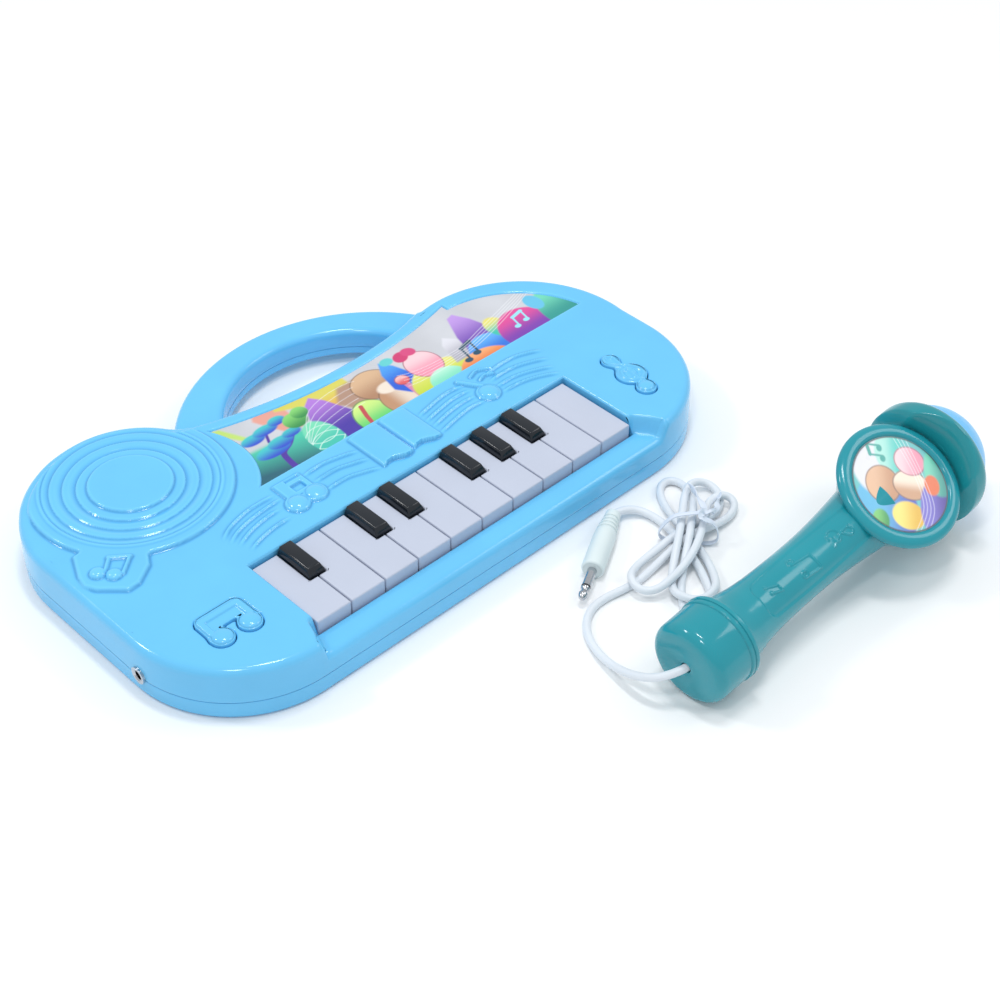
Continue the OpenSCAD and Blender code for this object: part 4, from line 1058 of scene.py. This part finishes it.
def label_art(x, y):
    """x, y in the object's frame; K = shifted so that the first key's edge is zero"""
    X = x + 76.0
    Y = y + 68.0
    n = len(X)
    t = np.clip((Y - 66) / 38, 0, 1)
    C = np.tile(col(206, 208, 214), (n, 1))
    C = C * (1 - 0.10 * np.sin(X / 9.0) ** 2)[:, None]
    # left hills
    C = paint(C, np.where(X < 74, (Y - (84 - 0.1 * (X - 40))) , 9.0), col(20, 92, 110), 1.5, col(70, 200, 170), np.clip((Y - 67) / 16 + (X - 45) / 60, 0, 1))
    C = paint(C, poly(X, Y, [(35, 104), (38, 103), (43, 92), (41.5, 90), (38, 96)]), col(190, 220, 110), 0.8)
    C = paint(C, poly(X, Y, [(50, 98), (53, 103), (64, 101), (63, 83), (56, 84)]), col(226, 158, 142), 0.8)
    C = paint(C, poly(X, Y, [(60, 97), (60, 101), (92, 101), (92, 86), (78, 82), (70, 92)]), col(214, 205, 88), 0.8, col(232, 150, 70), np.clip((92 - Y) / 12, 0, 1))
    C = paint(C, poly(X, Y, [(80, 84), (86, 92), (94, 92), (98, 78), (84, 76)]), col(176, 140, 120), 1.2)
    # cone shaped hills with soft stripes
    C = paint(C, poly(X, Y, [(66, 66), (66.5, 84), (70.5, 92), (74.5, 95), (78, 90), (83, 76), (86, 66)]), col(66, 42, 160), 0.5, col(176, 120, 214), smooth((Y - 72) / 20))
    C = paint(C, np.maximum(ell(X, Y, 64.5, 72, 6.6, 11.5), 66 - Y), col(60, 190, 170), 0.5, col(120, 220, 180), smooth((Y - 68) / 14))
    for k in range(5):
        C = paint(C, np.maximum(np.abs(ell(X, Y, 64.5, 62 + 4.2 * k, 8.5, 9.0)) - 0.16, ell(X, Y, 64.5, 72, 6.6, 11.5)), col(206, 240, 228), 0.18)
    C = paint(C, ell(X, Y, 86.8, 68, 8.6, 11.5), col(96, 206, 110), 0.5, col(206, 236, 130), smooth((Y - 66) / 12), outline=col(60, 110, 70))
    C = paint(C, np.maximum(seg(X, Y, [(82.5, 66), (83.6, 71), (85.6, 77)], 0.9), ell(X, Y, 86.8, 68, 8.6, 11.5)), col(190, 70, 74), 0.2)
    # tan hills, plain rounded
    C = paint(C, ell(X, Y, 98.5, 84, 9.6, 9.0), col(176, 130, 98), 0.4, col(216, 178, 140), smooth((Y - 78) / 12), outline=col(110, 80, 62))
    C = paint(C, ell(X, Y, 100, 70, 7.2, 10.0), col(190, 142, 106), 0.4, col(232, 214, 196), smooth((X - 96) / 8), outline=col(120, 88, 66))
    C = paint(C, np.maximum(ell(X, Y, 101.5, 79.0, 5.2, 3.4), -9 - X), col(240, 226, 210), 0.6)
    # blue hill and ball on a stick
    C = paint(C, poly(X, Y, [(102, 76), (104, 86), (108, 93), (111.5, 88), (114, 80), (113, 72), (106, 70)]), col(24, 92, 214), 0.5, col(70, 160, 240), smooth((Y - 78) / 12))
    C = paint(C, ell(X, Y, 111.0, 91.4, 3.0, 2.3), col(96, 206, 206), 0.4)
    C = paint(C, seg(X, Y, [(107.4, 67), (107.9, 76)], 1.3), col(214, 130, 170), 0.3)
    C = paint(C, ell(X, Y, 108.1, 78.6, 3.0, 2.9), col(226, 90, 96), 0.3, col(248, 190, 190), smooth((Y - 77) / 4), outline=col(140, 50, 70))
    # yellow green, pink, mint, grey and purple hills
    C = paint(C, ell(X, Y, 122, 66.5, 15.5, 13.5), col(196, 214, 60), 0.5, col(230, 224, 120), smooth((Y - 66) / 14))
    C = paint(C, ell(X, Y, 121.0, 80.5, 7.6, 8.6), col(236, 142, 168), 0.4, col(250, 206, 212), smooth((Y - 76) / 10), outline=col(150, 70, 96))
    C = paint(C, ell(X, Y, 117.2, 90.0, 3.6, 3.0, 0.5), col(206, 50, 110), 0.35)
    C = paint(C, ell(X, Y, 121.6, 90.6, 3.2, 2.6, -0.5), col(214, 66, 124), 0.35)
    C = paint(C, ell(X, Y, 122.5, 66, 8.5, 8.0), col(130, 222, 190), 0.4, col(190, 240, 214), smooth((Y - 67) / 8))
    C = paint(C, poly(X, Y, [(131, 72), (134, 84), (137.5, 88), (141, 84), (144, 72)]), col(170, 168, 180), 0.6, col(222, 222, 230), smooth((Y - 74) / 12))
    C = paint(C, poly(X, Y, [(139, 72), (142, 84), (147.5, 96), (151, 97), (154.5, 90), (158, 76)]), col(104, 60, 170), 0.5, col(190, 150, 226), smooth((Y - 76) / 20))
    C = paint(C, ell(X, Y, 148.5, 68.5, 11.0, 10.5), col(30, 110, 214), 0.5, col(96, 180, 244), smooth((Y - 68) / 11))
    C = paint(C, ell(X, Y, 140.5, 62.5, 13.0, 10.0), col(232, 128, 66), 0.5, col(246, 176, 120), smooth((Y - 66) / 7))
    C = paint(C, np.minimum.reduce([seg(X, Y, [(136.6, 70), (138.2, 78)], 0.5), seg(X, Y, [(142.2, 71.6), (143.8, 79.6)], 0.5), seg(X, Y, [(138.2, 77.6), (143.8, 79.2)], 1.0), ell(X, Y, 135.6, 70, 1.9, 1.4), ell(X, Y, 141.2, 71.4, 1.9, 1.4)]), col(14, 70, 96), 0.25)
    C = paint(C, ell(X, Y, 159, 78.5, 5.0, 7.0), col(50, 190, 170), 0.5, col(230, 220, 110), smooth((Y - 76) / 8))
    C = paint(C, ell(X, Y, 168.5, 68, 13.5, 15.0), col(120, 50, 170), 0.5, col(222, 70, 150), smooth((Y - 68) / 12))
    C = paint(C, ell(X, Y, 188.0, 66, 10.5, 19.0), col(30, 150, 140), 0.5, col(110, 214, 180), smooth((Y - 68) / 15))
    C = paint(C, ell(X, Y, 181.0, 80.5, 3.6, 5.4), col(96, 190, 226), 0.4)
    C = paint(C, np.minimum.reduce([seg(X, Y, [(166, 73), (167.4, 79)], 0.4), seg(X, Y, [(171.6, 74), (173, 80.2)], 0.4), seg(X, Y, [(167.4, 78.7), (173, 79.9)], 0.8), ell(X, Y, 165.2, 73, 1.5, 1.1), ell(X, Y, 170.8, 74, 1.5, 1.1)]), col(150, 226, 240), 0.2)
    # trees on the left
    trunk = np.minimum.reduce([seg(X, Y, [tuple(p) for p in spline([(45.5, 64), (46.0, 71), (47.4, 76), (52.6, 79), (58.2, 84.4)], 5)], 1.25), seg(X, Y, [(47.2, 75.5), (50.6, 79.6), (50.4, 82)], 0.7), seg(X, Y, [(47.2, 84.4), (49.4, 89.2)], 0.6)])
    C = paint(C, trunk, col(74, 40, 156), 0.3)
    for cx, cy, rx, ry in ((45.5, 79.5, 7.6, 3.6), (50.5, 81.6, 5.6, 3.2), (43.6, 89.4, 5.4, 3.0), (50.5, 91.0, 5.6, 2.8), (57.0, 92.6, 3.8, 2.6), (57.0, 83.4, 4.2, 2.4), (62.5, 88.0, 5.0, 4.6), (66.5, 90.6, 3.6, 3.4)):
        g = smooth((Y - cy + ry) / (2 * ry))
        if cx > 60:
            C = paint(C, ell(X, Y, cx, cy, rx, ry), col(40, 140, 70), 0.4, col(130, 210, 110), g)
        else:
            C = paint(C, ell(X, Y, cx, cy, rx, ry), col(40, 70, 200), 0.4, col(60, 196, 196), g)
    # sweeping white staves
    for k in range(5):
        o = k * 2.0
        L = [tuple(p) for p in spline([(58, 72 + o * 0.3), (70, 76 + o * 1.6), (92, 78 + o * 1.7), (112, 73 + o * 0.9), (136, 73.5 + o * 0.6), (154, 77 + o * 0.7), (176, 84 + o * 0.6), (186, 88 + o * 0.5)], 5)]
        d = seg(X, Y, L, 0.10)
        d = np.where(ell(X, Y, 98.5, 80, 10, 12) < 0, 5.0, d)
        w = (smooth(0.5 - d / 0.4) * 0.75)[:, None]
        C = C * (1 - w) + np.array([0.9, 0.92, 0.95]) * w
    return np.clip(C, 0, 1)


b = Build()
a0, q0 = b.grid(F_label, lambda x, y: np.full(np.shape(x), 21.32), (-48, 120, -2, 36), 0.3)
v, f = b.out()
attr = label_art(v[:, 0], v[:, 1])
panel = make("printed_panel_film", v, f, PRINT, attrs=attr, recalc=False)
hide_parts("art_panel")
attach(panel, "case")

# ------------------------------------------------------------------ microphone, in its own frame
rx_, ry_, rz_ = [math.radians(q) for q in (28.6, -4.0, 1.4)]
MIC = Matrix.Translation((18, -164.4, 16.4)) @ Matrix.Rotation(rz_, 4, "Z") @ Matrix.Rotation(ry_, 4, "Y") @ Matrix.Rotation(rx_, 4, "X")
BX = 91.0


def mic_ride(ob, slot, *nodes):
    if nodes:
        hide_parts(*nodes)
    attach(ob, "microphone")


gp = spline([(2.25, 15.0), (3.4, 14.0), (7, 12.85), (11, 12.05), (15, 11.4), (20, 10.9), (25, 10.6), (35, 10.32), (45, 10.3), (55, 10.6), (65, 11.4), (75, 12.5), (84, 13.6)], 6)
gx, gr = gp[:, 0], gp[:, 1]
nx, na = 330, 300
Xs = np.linspace(2.25, 83.5, nx)
As = np.linspace(0, 2 * np.pi, na, endpoint=False)
XX, AA = np.meshgrid(Xs, As, indexing="ij")
RR = np.interp(XX, gx, gr)
yy = RR * np.cos(AA)
front = np.sin(AA) > 0
# sunk panel along the front with raised signs in it
pw = 7.2 + 0.6 * np.sin((XX - 14) / 55 * np.pi)
dpan = np.maximum(np.abs(yy) - pw, np.maximum(15.0 - XX, XX - 72.0))
cor = np.hypot(np.maximum(np.abs(yy) - (pw - 4), 0), np.maximum(np.maximum(19 - XX, XX - 68), 0)) - 4
dpan = np.where((np.abs(yy) > pw - 4) & ((XX < 19) | (XX > 68)), cor, np.maximum(np.abs(yy) - pw, np.maximum(15 - XX, XX - 72)))
sink = np.where(front, -0.55 * smooth(-dpan / 0.9), 0)


def sgn(L, w=0.55):
    return seg(XX, yy, [tuple(p) for p in spline(L, 5)], w)


signs = np.minimum.reduce([
    sgn([(21.2, 2.6), (25.4, 1.0)], 0.35), sgn([(21.8, -0.2), (25.8, -1.6)], 0.35), sgn([(25.4, 1.2), (25.9, -1.6)], 0.4), np.hypot(XX - 20.8, yy - 3.1) - 0.8, np.hypot(XX - 21.4, yy - 0.2) - 0.8,
    sgn([(36.2, 3.0), (43.8, 2.0)], 0.42), sgn([(37.4, -3.6), (44.6, -4.2)], 0.42), sgn([(43.8, 2.2), (44.6, -4.2)], 0.5), np.abs(np.hypot(XX - 36.0, yy - 4.2) - 1.2) - 0.4, np.abs(np.hypot(XX - 37.2, yy + 2.4) - 1.2) - 0.4,
    sgn([(53.6, 1.2), (54.4, 3.4), (57.2, 3.6), (58.6, 1.2), (57.4, -1.2), (55.4, -0.8), (55.4, 1.2)], 0.4), sgn([(58.6, 1.2), (60.4, -0.8), (62.4, -2.4), (64.0, -1.0), (62.6, 0.8), (60.2, 1.0)], 0.4), sgn([(53.8, -2.0), (58, 0.2), (63.6, 1.4)], 0.4),
])
emb = np.where(front, 0.42 * smooth(0.5 - (signs + 0.12) / 0.5), 0)
# seam between the two halves
seam = -0.28 * np.exp(-((np.abs(np.sin(AA)) * RR) / 0.28) ** 2)
R2 = RR + sink + emb + seam
b = Build()
loops = [np.stack([XX[i], R2[i] * np.cos(AA[i]), R2[i] * np.sin(AA[i])], 1) for i in range(nx)]
b.rings(loops)
v, f = b.out()
grip = make("mic_grip_moulded", v, f, TEALM, place=MIC, sharp=55)
mic_ride(grip, "mic_plastic", "mic_front_shell", "mic_back_shell")

# rim ring and end cap
prof = [(2.6, 14.6), (2.3, 15.4)] + arc(1.4, 15.5, 0.8, 0, 90, 6)[1:] + [(0.9, 16.3), (0.35, 16.28), (0.12, 15.9), (-0.12, 15.9), (-0.35, 16.22), (-1.2, 16.22)] + arc(-1.3, 15.6, 0.6, 90, 170, 4) + [(-2.3, 15.72), (-5, 15.78), (-9.0, 15.74)] + arc(-13.0, 11.7, 4.02, 92, 170, 9)
prof += [(-16.98, 8.5), (-16.99, 5), (-17.0, 2.6), (-16.9, 2.1), (-16.2, 1.85), (-15.2, 1.8)]
cap = lathe("mic_cap_moulded", prof, TEALM, MIC, 120, sharp=50)
for v_ in cap.data.vertices:
    v_.co.z = max(v_.co.z, 0.0)
mic_ride(cap, "mic_plastic", "mic_end_cap")

# head: drum seen from the side, ring round the badge, back
LZ = MIC @ Matrix.Translation((BX, 0, 0)) @ Matrix.Rotation(math.radians(-90), 4, "Y")
prof = [(-12.0, 0.001), (-12.0, 10.6), (-11.8, 11.6), (-11.3, 12.6), (-10, 14.0), (-7.5, 15.2), (-5, 16.3), (-2.5, 17.4), (0, 18.5), (3, 19.8), (5.2, 20.8), (5.3, 20.55), (5.45, 20.55), (5.6, 21.0), (8, 22.1), (10.15, 23.0)]
prof += [(10.3, 23.25), (10.5, 23.8), (10.8, 23.98), (11.5, 24.0), (12.1, 23.86), (12.6, 23.5), (13.05, 22.9), (13.4, 22.1), (13.56, 21.2), (13.55, 20.2), (13.4, 19.5), (13.1, 19.05), (12.7, 18.92), (12.64, 18.85), (12.64, 0.001)]
head = lathe("mic_head_ring", prof, TEALM, LZ, 160, sharp=50)
mic_ride(head, "mic_plastic", "mic_badge_ring")


def badge_art(x, y):
    """x to the right and y up on the badge as it is read, radius 19"""
    n = len(x)
    C = np.tile(col(96, 190, 190), (n, 1))
    C = paint(C, ell(x, y, -10, 6, 14, 12), col(70, 90, 190), 0.6, col(90, 180, 220), smooth((y + 4) / 14))
    C = paint(C, ell(x, y, 9, 10, 14, 9), col(226, 226, 232), 0.7)
    C = paint(C, ell(x, y, 12, 3, 8, 6), col(80, 200, 190), 0.5, col(170, 226, 214), smooth((y - 0) / 6))
    C = paint(C, ell(x, y, -1, 7, 7.2, 6.6), col(196, 142, 104), 0.4, col(226, 182, 146), smooth((y - 2) / 9), outline=col(120, 84, 66))
    C = paint(C, ell(x, y, 0, -4, 5.8, 7.0), col(204, 156, 120), 0.4, col(244, 226, 206), smooth((x + 3) / 5), outline=col(120, 84, 66))
    C = paint(C, ell(x, y, -12, -2, 5.4, 6.4), col(226, 180, 60), 0.4, col(244, 224, 120), smooth((y + 6) / 8))
    C = paint(C, ell(x, y, 9.5, -4.5, 5.6, 6.0), col(236, 148, 172), 0.4, col(250, 208, 214), smooth((y + 8) / 8), outline=col(160, 80, 104))
    C = paint(C, ell(x, y, -9, -14, 12, 7), col(70, 50, 150), 0.5, col(120, 110, 200), smooth((y + 18) / 8))
    C = paint(C, ell(x, y, 7, -16, 10, 6), col(40, 150, 140), 0.5, col(110, 210, 180), smooth((y + 18) / 7))
    C = paint(C, ell(x, y, -15, 9, 4.2, 3.2), col(50, 150, 80), 0.4, col(120, 200, 110), smooth((y - 6) / 5))
    C = paint(C, ell(x, y, 1, -12.5, 4, 3), col(230, 110, 60), 0.4)
    for k in range(4):
        L = [tuple(p) for p in spline([(-18, -9 + k * 1.6), (-8, -12.5 + k * 1.4), (4, -9.5 + k * 1.2), (18, -4 + k * 1.6)], 6)]
        d = seg(x, y, L, 0.10)
        w = (smooth(0.5 - d / 0.4) * 0.7)[:, None]
        C = C * (1 - w) + np.array([0.92, 0.93, 0.95]) * w
    note = np.minimum.reduce([seg(x, y, [(10.2, 6.0), (10.2, 11.0)], 0.4), seg(x, y, [(14.2, 7.0), (14.2, 12.0)], 0.4), seg(x, y, [(10.2, 10.8), (14.2, 11.8)], 0.7), ell(x, y, 9.2, 6.0, 1.4, 1.1), ell(x, y, 13.2, 7.0, 1.4, 1.1)])
    C = paint(C, note, col(40, 160, 150), 0.25)
    rim = np.abs(np.hypot(x, y) - 18.45) - 0.3
    return np.clip(paint(C, rim, col(40, 60, 70), 0.25), 0, 1)


b = Build()
bm_ = lambda x, y: np.hypot(x, y) - 18.68
b.grid(bm_, lambda x, y: 12.97 - 0.0008 * (x * x + y * y), (-20, 20, -20, 20), 0.3)
v, f = b.out()
# on the badge the picture's up is along the grip toward the player's back left
th = math.radians(-48)
bx = v[:, 0] * math.cos(th) - v[:, 1] * math.sin(th)
by = v[:, 0] * math.sin(th) + v[:, 1] * math.cos(th)
attr = badge_art(bx, by)
v[:, 0] += BX
badge = make("mic_badge_print", v, f, PRINT, attrs=attr, place=MIC, recalc=False)
mic_ride(badge, "printed_badge", "mic_badge")

# collar: open cup whose front edge follows the round head
na = 200
A = np.linspace(0, 2 * np.pi, na, endpoint=False)


def cup(xx, r, useedge):
    y_ = r * np.cos(A)
    e = BX + np.sqrt(np.maximum(24.75 ** 2 - np.minimum(np.abs(y_), 24.7) ** 2, 0.2))
    x_ = np.maximum(e, 110.5) + xx if useedge else np.full(na, float(xx))
    return np.stack([x_, y_, r * np.sin(A)], 1)


b = Build()
loops = [cup(o_, q, True) for q, o_ in ((8.0, 0), (11.0, 0), (14.0, 0), (15.5, 0.05), (17.0, 0.2), (18.5, 0.45), (20.0, 0.85), (21.2, 1.3), (22.2, 1.75), (23.0, 2.2), (23.6, 2.6), (23.9, 2.9), (24.0, 3.2))]
nb = len(loops)
loops += [cup(117.4, 24.0, False), cup(118.2, 23.96, False), cup(119.0, 23.82, False), cup(119.8, 23.5, False), cup(120.5, 23.1, False), cup(121.0, 22.6, False), cup(121.3, 22.1, False), cup(121.4, 21.7, False), cup(121.3, 21.4, False), cup(120.9, 21.3, False), cup(119.9, 21.3, False)]
for L in loops[nb:]:
    L[:, 0] = np.maximum(L[:, 0], np.minimum(loops[nb - 1][:, 0], 118.4))
b.rings(loops)
v, f = b.out()
collar = make("mic_collar_cup", v, f, TEALD, place=MIC, sharp=50)
mic_ride(collar, "mic_plastic", "mic_collar")

# dome: smooth round cap turned from a profile of 54 rows
cx, rD = 116.3, 21.2
rows = 54
prof = []
for k in range(rows + 1):
    a = math.radians(85) * (1 - k / rows)
    prof.append((cx + rD * math.cos(a), max(rD * math.sin(a), 0.001)))
dome = lathe("mic_dome_cap", [(118.1, 19.6)] + prof, DOME, MIC, 120, sharp=50)
mic_ride(dome, "dome_plastic", "mic_dome")

# ------------------------------------------------------------------ CAD nodes that stay: better materials
keep = {
    "lower_case": BODY, "key_pivot_rod": STEELM, "key_return_strip": RUBBER, "main_board": BOARD, "board_parts": DARKM, "button_pads": RUBBER,
    "speaker_frame": DARKM, "speaker_cone": PAPER, "speaker_magnet": STEELM, "jack_socket": METAL, "power_switch": DARKM, "power_slider": WHITEKEY,
    "battery_cover": BODY, "battery_screw": STEELM, "battery_contacts": METAL, "battery_cells": CELL, "case_screws": STEELM,
    "speaker_leads": RED, "battery_leads": BLACKL, "jack_leads": YELLOW, "mic_capsule": METAL, "mic_capsule_holder": TEALD, "mic_screws": STEELM, "plug_ring": DARKM,
}
for nme, mt in keep.items():
    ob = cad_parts[nme]
    for s in ob.material_slots:
        s.material = mt

# ------------------------------------------------------------------ floor and light
floor_mat = plastic("floor_pale", (0.93, 0.935, 0.94, 1), rough=0.7, var=0.01, grain=0.2, grain_mm=2.0, cloud_mm=300)
bm = bmesh.new()
bmesh.ops.create_grid(bm, x_segments=8, y_segments=8, size=4.0)
me = bpy.data.meshes.new("floor")
for v_ in bm.verts:
    v_.co.z = -0.00002
bm.to_mesh(me)
bm.free()
me.materials.append(floor_mat)
floor = bpy.data.objects.new("floor", me)
scene.collection.objects.link(floor)

w = bpy.data.worlds.new("studio")
w.use_nodes = True
w.node_tree.nodes["Background"].inputs["Color"].default_value = (0.94, 0.97, 1.0, 1)
w.node_tree.nodes["Background"].inputs["Strength"].default_value = 0.70
scene.world = w


def area(name, loc, target, size, power, color=(1, 1, 1)):
    ld = bpy.data.lights.new(name, "AREA")
    ld.shape = "RECTANGLE"
    ld.size = size[0]
    ld.size_y = size[1]
    ld.energy = power
    ld.color = color
    ob = bpy.data.objects.new(name, ld)
    ob.location = loc
    d = Vector(target) - Vector(loc)
    ob.rotation_euler = d.to_track_quat("-Z", "Y").to_euler()
    scene.collection.objects.link(ob)
    return ob


area("top_light", (0.10, -0.02, 1.3), (0.0, -0.03, 0), (0.34, 0.12), 4.2)
area("camera_side_light", (-0.42, -0.30, 1.0), (-0.02, -0.05, 0), (0.12, 0.12), 1.5)
area("left_light", (-0.50, 0.60, 0.9), (-0.03, -0.03, 0), (0.16, 0.16), 2.2)
area("fill_light", (0.75, -0.5, 0.85), (0.05, -0.08, 0), (0.4, 0.4), 1.6)
scene.view_settings.view_transform = "Standard"

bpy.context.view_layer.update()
